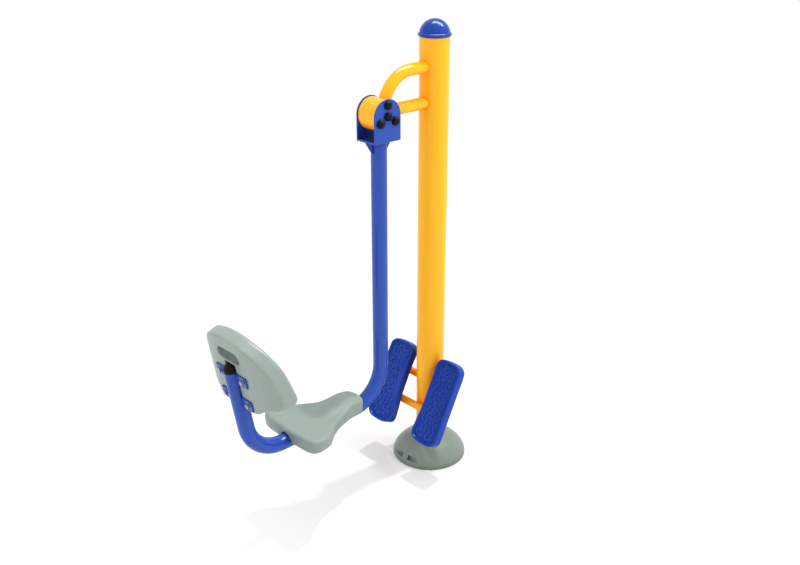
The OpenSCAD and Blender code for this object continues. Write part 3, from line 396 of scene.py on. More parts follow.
def make_finish(name, colour, second, rubbed, amount=0.3, drift_scale=5.0,
                rough=(0.3, 0.4), relief=("orange_peel", 260.0, 0.00006),
                rubbed_share=0.3, dust=0.3, hollow=0.3, metallic=0.0, specular=0.5,
                coat=0.0, coat_rough=0.1, corners=0.4, reach=0.08):
    finish = bpy.data.materials.new(name)
    finish.use_nodes = True
    tree = finish.node_tree
    shader = tree.nodes["Principled BSDF"]
    tone = place_group(tree, drift, {
        "Colour": linear(colour), "Second Colour": linear(second), "Amount": amount,
        "Scale": drift_scale, "Low Roughness": rough[0], "High Roughness": rough[1]})
    used = place_group(tree, wear_and_shade, {
        "Colour": tone.outputs["Colour"], "Rubbed Colour": linear(rubbed),
        "Rubbed": rubbed_share, "Dust": dust, "Hollow": hollow})
    deep = place_group(tree, corner, {"Colour": used.outputs["Colour"], "Reach": reach,
                                      "Amount": corners})
    pattern, scale, rise = relief
    skin = place_group(tree, bpy.data.node_groups[pattern], {"Scale": scale})
    bump = add_node(tree, "ShaderNodeBump", {"Height": skin.outputs["Height"],
                                             "Strength": 1.0, "Distance": rise})
    duller = maths(tree, "MULTIPLY_ADD", used.outputs["Edge"], RUBBED_DULLS,
                   tone.outputs["Roughness"])
    tree.links.new(deep.outputs["Colour"], shader.inputs["Base Color"])
    tree.links.new(duller, shader.inputs["Roughness"])
    tree.links.new(bump.outputs["Normal"], shader.inputs["Normal"])
    shader.inputs["Metallic"].default_value = metallic
    shader.inputs["Specular IOR Level"].default_value = specular
    shader.inputs["Coat Weight"].default_value = coat
    shader.inputs["Coat Roughness"].default_value = coat_rough
    return finish


# %% [markdown]
# A relief is a pattern, its scale and its rise in metres. The paints are very glossy over
# a deep colour, and the cap is a glossy moulding. The foot plates are duller under a thin
# shine. The grey mouldings are matte, the backrest a little less so than the seat, and the
# fasteners are zinc-plated or bare metal.

# %% Finishes
PEEL = ("orange_peel", 200.0, 0.000012)
GLOSSY_MOULD = ("orange_peel", 150.0, 0.000008)
GRAIN = ("moulded_grain", 750.0, 0.00004)
FINE_GRAIN = ("moulded_grain", 750.0, 0.000012)
finishes = {
    # The paints take the strongest painted shade in deep corners, the yellow over the widest
    # reach.
    "yellow_steel": make_finish("yellow_powder_coat", "#ffb705", "#fcac04", "#ffdb80",
                                amount=0.2, rough=(0.1, 0.14), relief=PEEL,
                                rubbed_share=0.04, specular=0.34, corners=0.6,
                                reach=0.16),
    "blue_steel": make_finish("blue_powder_coat", "#1d48aa", "#1b419f", "#5a78cc",
                              amount=0.2, rough=(0.13, 0.18), relief=PEEL,
                              rubbed_share=0.04, specular=0.4, corners=0.5),
    "blue_plastic": make_finish("blue_cap_plastic", "#083d9f", "#073893", "#4f6cc0",
                                amount=0.3, rough=(0.18, 0.22), relief=GLOSSY_MOULD,
                                specular=0.3),
    # The foot plates' hollows are painted darkest: painted shade in the pits and grooves of
    # the tread.
    "pedal_plastic": make_finish("blue_tread_plastic", "#0f3ea7", "#0b3392", "#3a5cc0",
                                 amount=0.5, drift_scale=9.0, rough=(0.28, 0.36),
                                 relief=GLOSSY_MOULD, hollow=1.0, specular=0.06,
                                 coat=0.32, coat_rough=0.08),
    "cover_plastic": make_finish("grey_cover_plastic", "#7b887e", "#738076", "#a4b0a8",
                                 amount=0.4, rough=(0.36, 0.46), relief=GRAIN, dust=0.12,
                                 specular=0.3),
    # The seat's grey is a little darker than the backrest's: painted shade for its upper
    # face, which the lamps light more strongly.
    "seat_plastic": make_finish("grey_seat_plastic", "#8d9a94", "#86918c", "#a8b5ad",
                                amount=0.4, rough=(0.38, 0.48), relief=GRAIN,
                                rubbed_share=0.2, specular=0.25),
    "back_plastic": make_finish("grey_back_plastic", "#919e98", "#8a9590", "#acb9b1",
                                amount=0.4, rough=(0.33, 0.41), relief=FINE_GRAIN,
                                rubbed_share=0.1, specular=0.55),
    "black_plastic": make_finish("black_cap_plastic", "#0c0d0e", "#070808", "#2c2d30",
                                 amount=0.5, rough=(0.42, 0.55), relief=GRAIN,
                                 specular=0.15),
    "zinc_steel": make_finish("zinc_plate", "#b4b8bb", "#989ca0", "#e4e4e2", amount=0.8,
                              drift_scale=40.0, rough=(0.25, 0.42), metallic=1.0,
                              relief=("orange_peel", 900.0, 0.00003)),
    "bright_steel": make_finish("turned_steel", "#c9cccf", "#b2b6ba", "#eeeeec", amount=0.7,
                                drift_scale=30.0, rough=(0.18, 0.3), metallic=1.0,
                                relief=("orange_peel", 1400.0, 0.00002)),
    "black_rubber": make_finish("black_rubber", "#1a1a1b", "#121213", "#39393a",
                                amount=0.6, rough=(0.6, 0.75), relief=GRAIN,
                                specular=0.25),
    "insert_brass": make_finish("brass", "#c8a24c", "#a8843a", "#e6cf8d", amount=0.6,
                                drift_scale=40.0, rough=(0.25, 0.4), metallic=1.0,
                                relief=("orange_peel", 900.0, 0.00003)),
}
print("finishes:", len(finishes))

# %% [markdown]
# The CAD pieces keep their shapes. What they lack is the small radius that every cut,
# pressed or painted edge has, and that catches the light. The CAD mesh is split along its
# edges, so one modifier first welds it and the next rounds its corners by a fraction of a
# millimetre. The mesh itself stays as it is. Tubes have hardly an edge that shows, and the
# rounding would draw lines along their sides, so they are left out.

# %% Dress the CAD pieces
REPLACED = {"seat", "backrest", "pedal_left", "pedal_right", "cover_left", "cover_right",
            "post_cap"}
PAINTED_EDGE, MACHINED_EDGE = 0.0009, 0.0004
EDGE_ANGLE, WELD_GAP = math.radians(38), 0.00001
ROUNDED_SLOTS = {"yellow_steel": PAINTED_EDGE, "blue_steel": PAINTED_EDGE,
                 "zinc_steel": MACHINED_EDGE}
TUBES = {"post", "bracket_upper", "bracket_lower", "bar_lower", "bar_upper", "arm_tube",
         "back_tube", "bearing_drum"}


def round_edges(piece, width):
    weld = piece.modifiers.new("weld", "WELD")
    weld.merge_threshold = WELD_GAP
    bevel = piece.modifiers.new("round_edges", "BEVEL")
    bevel.width = width
    bevel.segments = 2
    bevel.limit_method = "ANGLE"
    bevel.angle_limit = EDGE_ANGLE
    bevel.harden_normals = True


for name, piece in nodes.items():
    slot = piece.material_slots[0].material.name.split(".")[0]
    for holder in piece.material_slots:
        holder.material = finishes[slot]
    if name not in REPLACED | TUBES and slot in ROUNDED_SLOTS:
        round_edges(piece, ROUNDED_SLOTS[slot])
print("dressed:", len(nodes) - len(REPLACED), "CAD pieces")

# %% [markdown]
# The mouldings are drawn as a maker draws them: half an outline by a few points, mirrored
# and run through by a smooth closed curve. Rings of that outline, drawn in or raised step
# by step and joined by faces, make the skin.

# %% Outline helpers
def smooth_outline(points, steps):
    """A closed curve through the points, as many steps between each two."""
    p = np.array(points, float)
    a, b = np.roll(p, 1, 0), p
    c, d = np.roll(p, -1, 0), np.roll(p, -2, 0)
    rows = []
    for t in np.arange(steps) / steps:
        rows.append(0.5 * (2 * b + (c - a) * t + (2 * a - 5 * b + 4 * c - d) * t ** 2
                           + (3 * b - a - 3 * c + d) * t ** 3))
    return np.stack(rows, 1).reshape(-1, 2)


def mirrored(half):
    """A half outline, from the axis to the axis, made whole."""
    return half + [(p[0], -p[1]) for p in half[-2:0:-1]]


def inset(outline, distance, way):
    """Every point moved square to the outline. way is 1 or -1, by which way it runs."""
    along = np.roll(outline, -1, 0) - np.roll(outline, 1, 0)
    along /= np.linalg.norm(along, axis=1)[:, None]
    return outline + distance * way * np.stack([-along[:, 1], along[:, 0]], 1)


def drawn_in(outline, share, low, high):
    """The outline shrunk towards the spine between low and high."""
    spine = np.clip(outline[:, 0], low, high)
    return np.stack([spine + (outline[:, 0] - spine) * share, outline[:, 1] * share], 1)


def ring_faces(count, rings):
    return [(j * count + i, j * count + (i + 1) % count,
             (j + 1) * count + (i + 1) % count, (j + 1) * count + i)
            for j in range(rings - 1) for i in range(count)]


def ladder_faces(count, start):
    """Closes a ring that is alike on both sides with rungs from one side to the other."""
    rungs = [(0, 1, count - 1)]
    rungs += [(k, k + 1, count - k - 1, count - k) for k in range(1, count // 2 - 1)]
    rungs.append((count // 2 - 1, count // 2, count // 2 + 1))
    return [tuple(start + v for v in rung) for rung in rungs]


def smoothstep(t):
    t = np.clip(t, 0, 1)
    return t * t * (3 - 2 * t)


# %% [markdown]
# A new piece is a mesh of points and faces that are turned outwards. Cuts and softening
# are modifiers, applied at once, so that the next step works on plain geometry. Softening
# remeshes the piece into small even quads and relaxes them, which rounds every corner as
# a mould does. A finished piece is shaded smooth, rides on a body, and takes the place of
# the CAD node that it replaces.

# %% Piece helpers
RELAX = 0.5


def new_object(name, points, faces):
    mesh = bpy.data.meshes.new(name)
    mesh.from_pydata([tuple(p) for p in points], [], faces)
    piece = bpy.data.objects.new(name, mesh)
    bpy.context.scene.collection.objects.link(piece)
    bm = bmesh.new()
    bm.from_mesh(mesh)
    bmesh.ops.recalc_face_normals(bm, faces=bm.faces)
    bm.to_mesh(mesh)
    bm.free()
    return piece


def apply_modifiers(piece):
    view = bpy.context.evaluated_depsgraph_get()
    view.update()
    done = bpy.data.meshes.new_from_object(piece.evaluated_get(view))
    piece.modifiers.clear()
    piece.data = done


def cut(piece, cutter, operation="DIFFERENCE"):
    step = piece.modifiers.new(operation.lower(), "BOOLEAN")
    step.operation = operation
    step.solver = "MANIFOLD"
    step.object = cutter
    apply_modifiers(piece)
    bpy.data.objects.remove(cutter)


def soften(piece, voxel, rounds):
    """Even quads all over, then a few rounds of smoothing, which round every corner."""
    remesh = piece.modifiers.new("even", "REMESH")
    remesh.mode = "VOXEL"
    remesh.voxel_size = voxel
    relax = piece.modifiers.new("soft", "SMOOTH")
    relax.factor = RELAX
    relax.iterations = rounds
    apply_modifiers(piece)


def finish_piece(piece, slot, body, *replaced, finish=None):
    piece.data.materials.clear()
    piece.data.materials.append(finish or finishes[slot])
    for face in piece.data.polygons:
        face.use_smooth = True
    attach(piece, body)
    if replaced:
        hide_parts(*replaced)
    print(piece.name, "has", len(piece.data.polygons), "faces")
    return piece


def prism(name, outline, low, high, place):
    """A straight prism between two levels. place turns a point and a level into XYZ."""
    count = len(outline)
    points = [place(p, level) for level in (low, high) for p in outline]
    faces = ring_faces(count, 2) + [tuple(range(count)), tuple(range(count, 2 * count))]
    return new_object(name, points, faces)


# %% [markdown]
# The seat is a thick saddle. Its wide rear narrows to a horn that rises in front, with a
# shallow hollow on each side for a thigh. The height of the upper face is a formula of the
# place, and the rings of the outline are laid on it.

# %% Seat outline and height
SEAT_REAR_X, SEAT_LEN, SEAT_HALF, HORN_HALF = -757.5, 357.0, 159.0, 53.0
SEAT_BASE_Z, SEAT_THICK, SEAT_EDGE = 385.0, 52.0, 14.0
HORN_RISE, HORN_FROM, HORN_OVER = 15, 0.38, 0.45
NOSE_DROP, NOSE_FROM, NOSE_OVER = 8, 0.78, 0.22
THIGH_DIP, THIGH_X, THIGH_Y, THIGH_LEN, THIGH_WIDE = 11, 0.6, 1.1, 62, 26
SIT_DIP, SIT_X, SIT_LEN, SIT_WIDE = 4, 0.22, 60, 0.6

w, h, l = SEAT_HALF, HORN_HALF, SEAT_LEN
seat_half = [
    (0, 0), (1, 0.42 * w), (4, 0.72 * w), (16, 0.93 * w), (41, w), (68, 0.985 * w),
    (92, 0.945 * w), (111, 0.89 * w), (133, 0.765 * w), (166, 0.615 * w),
    (l - 155, 1.5 * h), (l - 118, 1.26 * h), (l - 78, 1.07 * h), (l - 38, h),
    (l - 14, 0.86 * h), (l - 3, 0.48 * h), (l, 0)]


def hump(x, y, reach_x, reach_y):
    return np.exp(-(x / reach_x) ** 2 - (y / reach_y) ** 2)


def seat_top(p):
    """Height of the upper face. Most places on it are shares of the length or a width."""
    x, y = p[:, 0], p[:, 1]
    return (SEAT_BASE_Z + SEAT_THICK
            + HORN_RISE * smoothstep((x / l - HORN_FROM) / HORN_OVER)
            - NOSE_DROP * smoothstep((x / l - NOSE_FROM) / NOSE_OVER)
            - THIGH_DIP * hump(x - THIGH_X * l, np.abs(y) - THIGH_Y * h, THIGH_LEN,
                               THIGH_WIDE)
            - SIT_DIP * hump(x - SIT_X * l, y, SIT_LEN, SIT_WIDE * w))


def seat_ring(p, z):
    return np.stack([p[:, 0] + SEAT_REAR_X, p[:, 1], z + 0 * p[:, 0]], 1) * MM


# %% [markdown]
# The skin starts with rings under the seat, climbs its side, which leans out a little,
# turns over the rounded edge and closes in over the top. Drawn towards a spine rather
# than a centre, the rings stay well spaced in the narrow horn too.

# %% Seat skin
SEAT_SIDE = ((4.2, 0), (2.9, 1.2), (1.5, 14))
SIDE_STRAIGHT = 2
SPINE = (0.2 * l, 0.84 * l)
UNDER_SHARES = (0.03, 0.3, 0.6, 0.85, 0.95)
TOP_SHARES = (0.93, 0.85, 0.75, 0.64, 0.53, 0.42, 0.31, 0.2, 0.11, 0.04)

outline = smooth_outline(mirrored(seat_half), 4)
rings = [seat_ring(drawn_in(outline, k, *SPINE), SEAT_BASE_Z) for k in UNDER_SHARES]
rings += [seat_ring(inset(outline, distance, -1), SEAT_BASE_Z + rise)
          for distance, rise in SEAT_SIDE]
rings.append(seat_ring(outline, seat_top(outline) - SEAT_EDGE - SIDE_STRAIGHT))
for angle in np.radians([15, 30, 45, 60, 75, 90]):
    p = inset(outline, SEAT_EDGE * (1 - math.cos(angle)), -1)
    rings.append(seat_ring(p, seat_top(p) - SEAT_EDGE * (1 - math.sin(angle))))
for k in TOP_SHARES:
    p = drawn_in(inset(outline, SEAT_EDGE, -1), k, *SPINE)
    rings.append(seat_ring(p, seat_top(p)))
count = len(outline)
faces = ring_faces(count, len(rings))
faces += ladder_faces(count, 0) + ladder_faces(count, (len(rings) - 1) * count)
seat = new_object("seat_moulding", np.concatenate(rings), faces)
print("seat skin:", len(rings), "rings of", count, "points")

# %% [markdown]
# The arm's tube runs in a groove along the underside. The groove is cut out with a round
# bar, and then the whole moulding is softened.

# %% Seat groove and finish
RAIL_Z, GROOVE_R, GROOVE_RISE, GROOVE_DEEP, GROOVE_PAST = 383.0, 30.4, 2.64, 30, 50
SEAT_GRID, SEAT_ROUNDS = 0.0021, 5

arc = [(GROOVE_R * math.cos(a), RAIL_Z + GROOVE_RISE + GROOVE_R * math.sin(a))
       for a in np.radians(np.arange(0, 181, 7.5))]
groove = arc + [(-GROOVE_R, RAIL_Z - GROOVE_DEEP), (GROOVE_R, RAIL_Z - GROOVE_DEEP)]
cut(seat, prism("groove", groove, SEAT_REAR_X - GROOVE_PAST, SEAT_REAR_X + l + GROOVE_PAST,
                lambda p, x: (x * MM, p[0] * MM, p[1] * MM)))
soften(seat, SEAT_GRID, SEAT_ROUNDS)
finish_piece(seat, "seat_plastic", "swing_arm", "seat")

# %% [markdown]
# The backrest is a thick curved board. Its flat middle is bolted to the tube, its wings
# come forward round the rider, and a hand slot goes through its upper part. It is drawn in
# the frame of the tube's upper end, which leans back a little.

# %% Backrest outline and bend
BACK_HALF, BACK_UP, BACK_DOWN, BACK_THICK = 206.0, 130.0, 157.0, 62.0
BACK_END = Vector((-963.67, 0, 756.95)) * MM
BACK_LEAN = math.radians(9.3)
BACK_REAR_X, BACK_FLAT, BACK_CURVE = -2.0, 75.0, 192.0
BACK_CREASE, BACK_FRONT_R, BACK_FLARE = 8.0, 20.0, 6.0
at_back_end = Matrix.Translation(BACK_END) @ Matrix.Rotation(-BACK_LEAN, 4, "Y")

w, u, d = BACK_HALF, BACK_UP, BACK_DOWN
back_half = [
    (u, 0), (u - 4, 0.25 * w), (u - 14, 0.465 * w), (u - 35, 0.655 * w),
    (u - 67, 0.79 * w), (u - 103, 0.885 * w), (u - 145, 0.94 * w), (99 - d, 0.98 * w),
    (71 - d, w), (49 - d, 0.97 * w), (39 - d, 0.88 * w), (42 - d, 0.75 * w),
    (31 - d, 0.635 * w), (14 - d, 0.535 * w), (6 - d, 0.4 * w), (1 - d, 0.2 * w), (-d, 0)]


def back_ring(p, x):
    """The points at a depth x, with the wings bent forward on a circle."""
    side = np.maximum(np.abs(p[:, 1]) - BACK_FLAT, 0)
    bend = BACK_CURVE - np.sqrt(BACK_CURVE ** 2 - side ** 2)
    return np.stack([x + bend, p[:, 1], p[:, 0]], 1) * MM


# %% [markdown]
# Its rings run from the middle of the rear face over a tight crease, round the wider
# front edge, which flares a little, and back in to the middle of the front face.

# %% Backrest skin
outline = smooth_outline(mirrored(back_half), 3)
rear = inset(outline, BACK_CREASE, 1)
face = inset(outline, BACK_FRONT_R - BACK_FLARE, 1)
front_x = BACK_REAR_X + BACK_THICK
shares = (0.02, 0.2, 0.36, 0.5, 0.64, 0.78, 0.9, 0.97)
hub = -0.13 * BACK_DOWN
rings = [back_ring(drawn_in(rear, k, hub, hub), BACK_REAR_X) for k in shares]
for angle in np.radians([90, 60, 30, 0]):
    p = inset(outline, BACK_CREASE * (1 - math.cos(angle)), 1)
    rings.append(back_ring(p, BACK_REAR_X + BACK_CREASE * (1 - math.sin(angle))))
for angle in np.radians([0, 22.5, 45, 67.5, 90]):
    p = inset(outline, BACK_FRONT_R * (1 - math.cos(angle)) - BACK_FLARE, 1)
    rings.append(back_ring(p, front_x - BACK_FRONT_R * (1 - math.sin(angle))))
rings += [back_ring(drawn_in(face, k, hub, hub), front_x) for k in reversed(shares)]
count = len(outline)
faces = ring_faces(count, len(rings))
faces += [tuple(range(count)), tuple(range((len(rings) - 1) * count, len(rings) * count))]
backrest = new_object("backrest_moulding", np.concatenate(rings), faces)
print("backrest skin:", len(rings), "rings of", count, "points")

# %% [markdown]
# A long slot for the hand goes through the board, and a round channel in its rear face
# takes the tube.

# %% Backrest slot, channel and finish
SLOT_UP, SLOT_WIDE, SLOT_HIGH, SLOT_REACH = 59.0, 127.0, 44.0, (-30, 120)
CHANNEL_R, CHANNEL_REACH = 30.4, (-260, 30.4)
BACK_GRID, BACK_ROUNDS = 0.0023, 5

half_bar = (SLOT_WIDE - SLOT_HIGH) / 2
slot = [(SLOT_UP + SLOT_HIGH / 2 * math.sin(a), side * half_bar + SLOT_HIGH / 2 * math.cos(a))
        for side, turn in ((1, -90), (-1, 90))
        for a in np.radians(np.arange(turn, turn + 181, 10))]
cut(backrest, prism("hand_slot", slot, *SLOT_REACH,
                    lambda p, x: (x * MM, p[1] * MM, p[0] * MM)))
circle = [(CHANNEL_R * math.cos(a), CHANNEL_R * math.sin(a))
          for a in np.radians(np.arange(0, 360, 5))]
cut(backrest, prism("tube_channel", circle, *CHANNEL_REACH,
                    lambda p, z: (p[0] * MM, p[1] * MM, z * MM)))
backrest.data.transform(at_back_end)
soften(backrest, BACK_GRID, BACK_ROUNDS)
finish_piece(backrest, "seat_plastic", "swing_arm", "backrest",
             finish=finishes["back_plastic"])

# %% [markdown]
# A foot plate has a rounded rim and, inside it, a tread of flat pebbles that grips a boot.
# Its inner side has a waist, where the bed rises to the rim as a smooth low flange. The
# outline has no mirror line, so it is drawn in full.

# %% Foot plate outline
PEDAL_Y, PEDAL_REACH, PEDAL_Z, PEDAL_LEAN = 132.0, 104.0, 336.0, math.radians(27)
PEDAL_HALF_LEN, PEDAL_HALF, PEDAL_THICK = 179.0, 69.0, 38.0
RIM_R, INNER_R, TREAD_X, BACK_R, BED_INSET = 5.0, 3.5, 8.5, 5.0, 15.0
WAIST_IN = 10.0

w, l = PEDAL_HALF, PEDAL_HALF_LEN
waist = w - WAIST_IN
pedal_outline = [
    (-l, 0), (4 - l, 0.6 * w), (18 - l, 0.9 * w), (40 - l, w), (-0.3 * l, w), (0, w),
    (0.3 * l, w), (l - 40, w), (l - 17, 0.88 * w), (l - 3, 0.55 * w),
    (l, 0), (l - 3, -0.62 * waist), (l - 16, -0.92 * waist), (l - 38, -1.04 * waist),
    (l - 90, -waist), (-0.18 * l, -waist), (-0.46 * l, -0.93 * w), (38 - l, -w),
    (14 - l, -0.86 * w), (3 - l, -0.5 * w)]
print("foot plate:", 2 * l, "x", 2 * w, "mm")

# %% [markdown]
# The tread is a fine net of points whose height comes from a second, coarse net, shifted
# at random: each coarse point is the middle of a pebble. Between two pebbles lies a
# shallow groove, and where three meet there is a pit, which is what shows most. The
# pattern fades towards the rim and on the flange.

# %% Tread helpers
PEBBLE, PEBBLE_RISE, PEBBLE_SHIFT, PEBBLE_CROWN = 18.5, 3.6, 0.42, 0.02
GROOVE_SHARE, GROOVE_W, PIT_W = 0.22, 4.0, 10.0
FLANGE_RISE, FLANGE_LEN, FLANGE_FROM, FLANGE_OVER = 5.0, 75.0, 22, 24
FADE_FROM, FADE_OVER = 1.2, 4
ROW_STEP, AT_ONCE = 0.866, 2000


def hex_net(step, jitter=0.0, seed=3):
    """Points of a triangular net over the plate, shifted at random by a share of a step."""
    draw = np.random.default_rng(seed)
    rows = []
    for n, up in enumerate(np.arange(-PEDAL_HALF_LEN, PEDAL_HALF_LEN, step * ROW_STEP)):
        out = np.arange(-PEDAL_HALF, PEDAL_HALF, step) + (step / 2 if n % 2 else 0)
        rows.append(np.stack([np.full_like(out, up), out], 1))
    net = np.concatenate(rows)
    return net + draw.uniform(-jitter, jitter, net.shape) * step


def inside(points, polygon):
    """Which points lie within the polygon, by counting the sides they cross."""
    x, y = points[:, 0], points[:, 1]
    a, b = polygon, np.roll(polygon, -1, 0)
    hit = np.zeros(len(points), bool)
    for (ax, ay), (bx, by) in zip(a, b):
        if ay != by:
            hit ^= ((ay > y) != (by > y)) & (x < (bx - ax) * (y - ay) / (by - ay) + ax)
    return hit


def edge_distance(points, polygon):
    near = np.full(len(points), 1e9)
    for p in polygon:
        near = np.minimum(near, np.hypot(points[:, 0] - p[0], points[:, 1] - p[1]))
    return near


def flange(points):
    """How far the waist of the inner side rises towards the rim, without a tread."""
    return (FLANGE_RISE * np.exp(-(points[:, 0] / FLANGE_LEN) ** 2)
            * smoothstep((-points[:, 1] - FLANGE_FROM) / FLANGE_OVER))


def pebbles(points, rim):
    """Height of the tread: a shallow groove between pebbles, a pit where three meet."""
    seeds = hex_net(PEBBLE, PEBBLE_SHIFT)
    height = np.zeros(len(points))
    for start in range(0, len(points), AT_ONCE):
        part = points[start:start + AT_ONCE]
        far = np.sort(np.hypot(part[:, None, 0] - seeds[None, :, 0],
                               part[:, None, 1] - seeds[None, :, 1]), 1)
        groove = smoothstep((far[:, 1] - far[:, 0]) / GROOVE_W)
        pit = smoothstep((far[:, 2] - far[:, 0]) / PIT_W)
        height[start:start + AT_ONCE] = (GROOVE_SHARE * groove + (1 - GROOVE_SHARE) * pit
                                         - PEBBLE_CROWN * far[:, 0])
    open_share = 1 - flange(points) / FLANGE_RISE
    off_rim = smoothstep((edge_distance(points, rim) - FADE_FROM) / FADE_OVER)
    return PEBBLE_RISE * height * off_rim * open_share


# %% Tread
NET, NET_GAP = 1.7, 0.7

outline = smooth_outline(pedal_outline, 4)
fine = smooth_outline(outline, 6)
bed = inset(fine, BED_INSET, -1)
net = hex_net(NET)
net = net[inside(net, bed) & (edge_distance(net, bed) > NET_GAP * NET)]
flat = np.concatenate([bed, net])
count = len(fine)
made = delaunay_2d_cdt([Vector(p) for p in flat], [],
                       [list(range(count))], 1, 1e-5)
tread = np.array([tuple(v) for v in made[0]])
tread_faces = [tuple(f) for f in made[2]]
rise = pebbles(tread, bed) + flange(tread)
print("tread:", len(tread), "points, pebbles up to", round(float(rise.max()), 2), "mm")

# %% [markdown]
# The rest of the plate is rings of the outline: over the back edge, up the side, round the
# crest and down the inner wall, which ends in a concave foot where it meets the bed. One
# plate is built, and the other is its mirror image.

# %% Foot plates
INNER_WALL = ((8.9, 3.14), (9.9, 4.74), (10.9, 6.34), (11.8, 7.4), (12.9, 8.1), (14.0, 8.42))
SAME_POINT = 0.00002


def pedal_ring(distance, x, share=0.0):
    """The outline drawn in by a distance, x below the crest. share: of the flange."""
    p = inset(fine, distance, -1)
    return np.stack([x - share * flange(p), p[:, 1], p[:, 0]], 1)


def build_pedal(name, side):
    rings = [pedal_ring(BACK_R * (1 - math.cos(a)), PEDAL_THICK - BACK_R * (1 - math.sin(a)))
             for a in np.radians([90, 70, 50, 30, 12, 0])]
    rings += [pedal_ring(RIM_R * (1 - math.cos(a)), RIM_R * (1 - math.sin(a)))
              for a in np.radians(np.arange(0, 91, 15))]
    rings += [pedal_ring(RIM_R + INNER_R * math.sin(a), INNER_R * (1 - math.cos(a)))
              for a in np.radians([20, 40, 58])]
    rings += [pedal_ring(distance, x, x / TREAD_X) for distance, x in INNER_WALL]
    rings.append(pedal_ring(BED_INSET, TREAD_X, 1.0))
    skin = np.concatenate(rings)
    base = len(skin)
    top = np.stack([TREAD_X - rise, tread[:, 1], tread[:, 0]], 1)
    faces = ring_faces(count, len(rings)) + [tuple(range(count))]
    faces += [tuple(base + v for v in f) for f in tread_faces]
    piece = new_object(name, np.concatenate([skin, top]) * MM, faces)
    bm = bmesh.new()
    bm.from_mesh(piece.data)
    bmesh.ops.remove_doubles(bm, verts=bm.verts, dist=SAME_POINT)
    bmesh.ops.recalc_face_normals(bm, faces=bm.faces)
    bm.to_mesh(piece.data)
    bm.free()
    at_pedal = (Matrix.Translation(Vector((-PEDAL_REACH, side * PEDAL_Y, PEDAL_Z)) * MM)
                @ Matrix.Rotation(PEDAL_LEAN, 4, "Y") @ Matrix.Diagonal((1, side, 1, 1)))
    piece.data.transform(at_pedal)
    if side < 0:
        piece.data.flip_normals()
    return piece


for name, side in (("left", 1), ("right", -1)):
    plate = build_pedal("foot_plate_" + name, side)
    finish_piece(plate, "pedal_plastic", "frame", "pedal_" + name)

# %% [markdown]
# The foot cover is a thin dome in two halves, held together by screws that sit in pockets
# at the seam. It is turned from its profile: a short skirt and a quarter of a circle,
# drawn in a little by a power.

# %% Turned shapes
COVER_R, COVER_SKIRT, COVER_CROWN, COVER_POWER = 153.5, 11.0, 104.0, 2 / 1.7
COVER_WALL, COVER_FOOT, POST_HOLE_R = 3.0, 0.3, 57.35
COLLAR_OUT, COLLAR_IN = 0.6, 0.4


def cover_profile(depth, count=48):
    angles = np.linspace(0, math.pi / 2, count)
    return [((COVER_R - depth) * math.cos(a) ** COVER_POWER,
             COVER_SKIRT + (COVER_CROWN - depth) * math.sin(a) ** COVER_POWER)
            for a in angles]


def turned(name, profile, segments=160):
    """A closed profile, as radius and height, turned about the post's axis."""
    rings = []
    for a in np.linspace(0, 2 * math.pi, segments, endpoint=False):
        rings.append([(r * math.cos(a) * MM, r * math.sin(a) * MM, z * MM)
                      for r, z in profile])
    n = len(profile)
    faces = [(k * n + j, k * n + (j + 1) % n, (k + 1) % segments * n + (j + 1) % n,
              (k + 1) % segments * n + j) for k in range(segments) for j in range(n)]
    return new_object(name, np.array(rings).reshape(-1, 3), faces)


def box_piece(name, low, high):
    points = [(x * MM, y * MM, z * MM) for x in (low[0], high[0])
              for y in (low[1], high[1]) for z in (low[2], high[2])]
    faces = [(0, 1, 3, 2), (4, 6, 7, 5), (0, 4, 5, 1), (2, 3, 7, 6), (0, 2, 6, 4),
             (1, 5, 7, 3)]
    return new_object(name, points, faces)


def cover_shell(outer_depth, inner_depth):
    outer = [p for p in cover_profile(outer_depth) if p[0] > POST_HOLE_R]
    inner = [p for p in cover_profile(inner_depth) if p[0] > POST_HOLE_R]
    return ([(COVER_R - outer_depth, COVER_FOOT)] + outer
            + [(POST_HOLE_R, outer[-1][1] + COLLAR_OUT),
               (POST_HOLE_R, inner[-1][1] + COLLAR_IN)]
            + inner[::-1] + [(COVER_R - inner_depth, COVER_FOOT)])


cover = turned("foot_cover", cover_shell(0, COVER_WALL))
print("foot cover:", 2 * COVER_R, "mm across")

# %% [markdown]
# At both ends of the seam a block fills the shell from inside, kept within the dome's own
# form, and two pockets are sunk into it, one in each half. After softening, the cover is
# parted along the seam, with a hair's breadth between the halves.

# %% Foot cover
POCKET_X, POCKET_Y0, POCKET_Y1, POCKET_Z0, POCKET_Z1 = 132.5, 12.0, 66.0, 25.0, 43.0
POCKET_WALL, BLOCK_END, BLOCK_DEPTH, BLOCK_INNER_R = 3, 158, 1.5, 60
OUTSIDE, SEAM, FAR_OFF = 170, 0.2, 200
COVER_GRID, COVER_ROUNDS = 0.0013, 3

for end in (1, -1):
    xs = sorted((end * (POCKET_X - POCKET_WALL), end * BLOCK_END))
    walls = box_piece("pocket_walls",
                      (xs[0], -POCKET_Y1 - POCKET_WALL, POCKET_Z0 - POCKET_WALL),
                      (xs[1], POCKET_Y1 + POCKET_WALL, POCKET_Z1 + POCKET_WALL))
    body = turned("cover_body", [(BLOCK_INNER_R, COVER_FOOT),
                                 (COVER_R - BLOCK_DEPTH, COVER_FOOT)]
                  + [p for p in cover_profile(BLOCK_DEPTH) if p[0] > BLOCK_INNER_R])
    cut(walls, body, "INTERSECT")
    cut(cover, walls, "UNION")
for end in (1, -1):
    for side in (1, -1):
        xs = sorted((end * POCKET_X, end * OUTSIDE))
        ys = sorted((side * POCKET_Y0, side * POCKET_Y1))
        cut(cover, box_piece("pocket", (xs[0], ys[0], POCKET_Z0), (xs[1], ys[1], POCKET_Z1)))
soften(cover, COVER_GRID, COVER_ROUNDS)
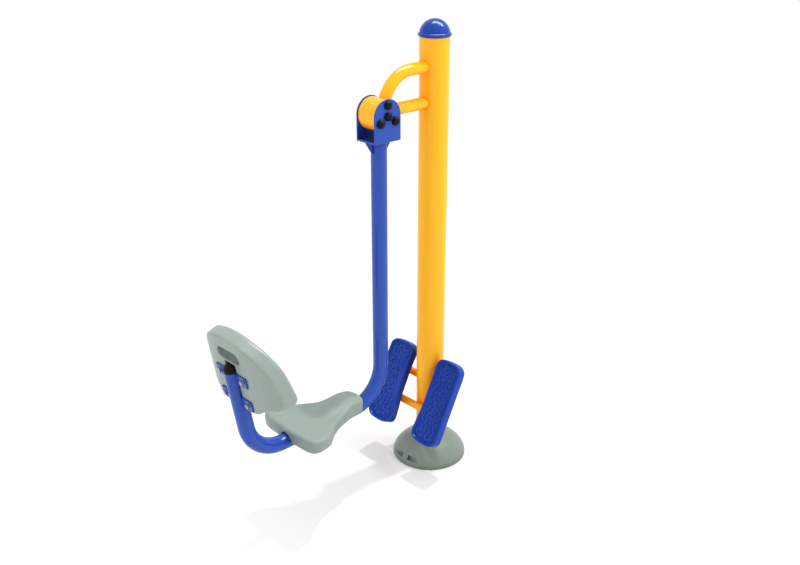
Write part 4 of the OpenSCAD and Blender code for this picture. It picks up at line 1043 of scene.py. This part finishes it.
for name, side in (("left", 1), ("right", -1)):
    half = bpy.data.objects.new("cover_half_" + name, cover.data.copy())
    bpy.context.scene.collection.objects.link(half)
    ys = sorted((side * SEAM, side * -FAR_OFF))
    cut(half, box_piece("other_half", (-FAR_OFF, ys[0], -10), (FAR_OFF, ys[1], FAR_OFF)))
    finish_piece(half, "cover_plastic", "frame", "cover_" + name)
bpy.data.objects.remove(cover)

# %% [markdown]
# The cap on the post is one moulding: a plug that grips the tube, a rounded lip and a dome.
# It is turned like the cover, but from a profile that starts and ends on the axis, so its
# two poles are closed by fans. Many even faces keep the glint on the dome clean.

# %% Post cap
POST_R, PLUG_R, PLUG_WALL, PLUG_DEEP = 57.0, 52.9, 3.0, 45.0
LIP_OUT, LIP_HIGH, DOME_HIGH = 5.5, 15.0, 49.0


def turned_solid(name, profile, base, segments=128):
    """A profile from pole to pole, as radius and height, turned about the post's axis."""
    n = len(profile) - 2
    angles = np.linspace(0, 2 * math.pi, segments, endpoint=False)
    points = [(r * math.cos(a), r * math.sin(a), z) for a in angles for r, z in profile[1:-1]]
    points += [(0, 0, profile[0][1]), (0, 0, profile[-1][1])]
    low, high = len(points) - 2, len(points) - 1
    faces = []
    for k in range(segments):
        a, b = k * n, (k + 1) % segments * n
        faces += [(a + j, a + j + 1, b + j + 1, b + j) for j in range(n - 1)]
        faces += [(low, a, b), (high, b + n - 1, a + n - 1)]
    return new_object(name, np.array(points) * MM + np.array([0, 0, base]), faces)


nose_r = LIP_HIGH / 2
nose_x = POST_R + LIP_OUT - nose_r
dome_r = (POST_R ** 2 + DOME_HIGH ** 2) / (2 * DOME_HIGH)
dome_z = LIP_HIGH + DOME_HIGH - dome_r
lip = [(nose_x + nose_r * math.cos(a), nose_r + nose_r * math.sin(a))
       for a in np.radians(np.arange(-90, 73, 9))]
dome = [(dome_r * math.cos(a), dome_z + dome_r * math.sin(a))
        for a in np.radians(np.arange(9, 90, 3))]
plug = [(PLUG_R - PLUG_WALL, 0), (PLUG_R - PLUG_WALL, -PLUG_DEEP), (PLUG_R, -PLUG_DEEP),
        (PLUG_R, 0)]
cap_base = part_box("post_cap")[1][2] - (LIP_HIGH + DOME_HIGH) * MM
profile = [(0, 0)] + plug + lip + dome + [(0, LIP_HIGH + DOME_HIGH)]
cap = turned_solid("post_cap_moulding", profile, cap_base)
finish_piece(cap, "blue_plastic", "frame", "post_cap")
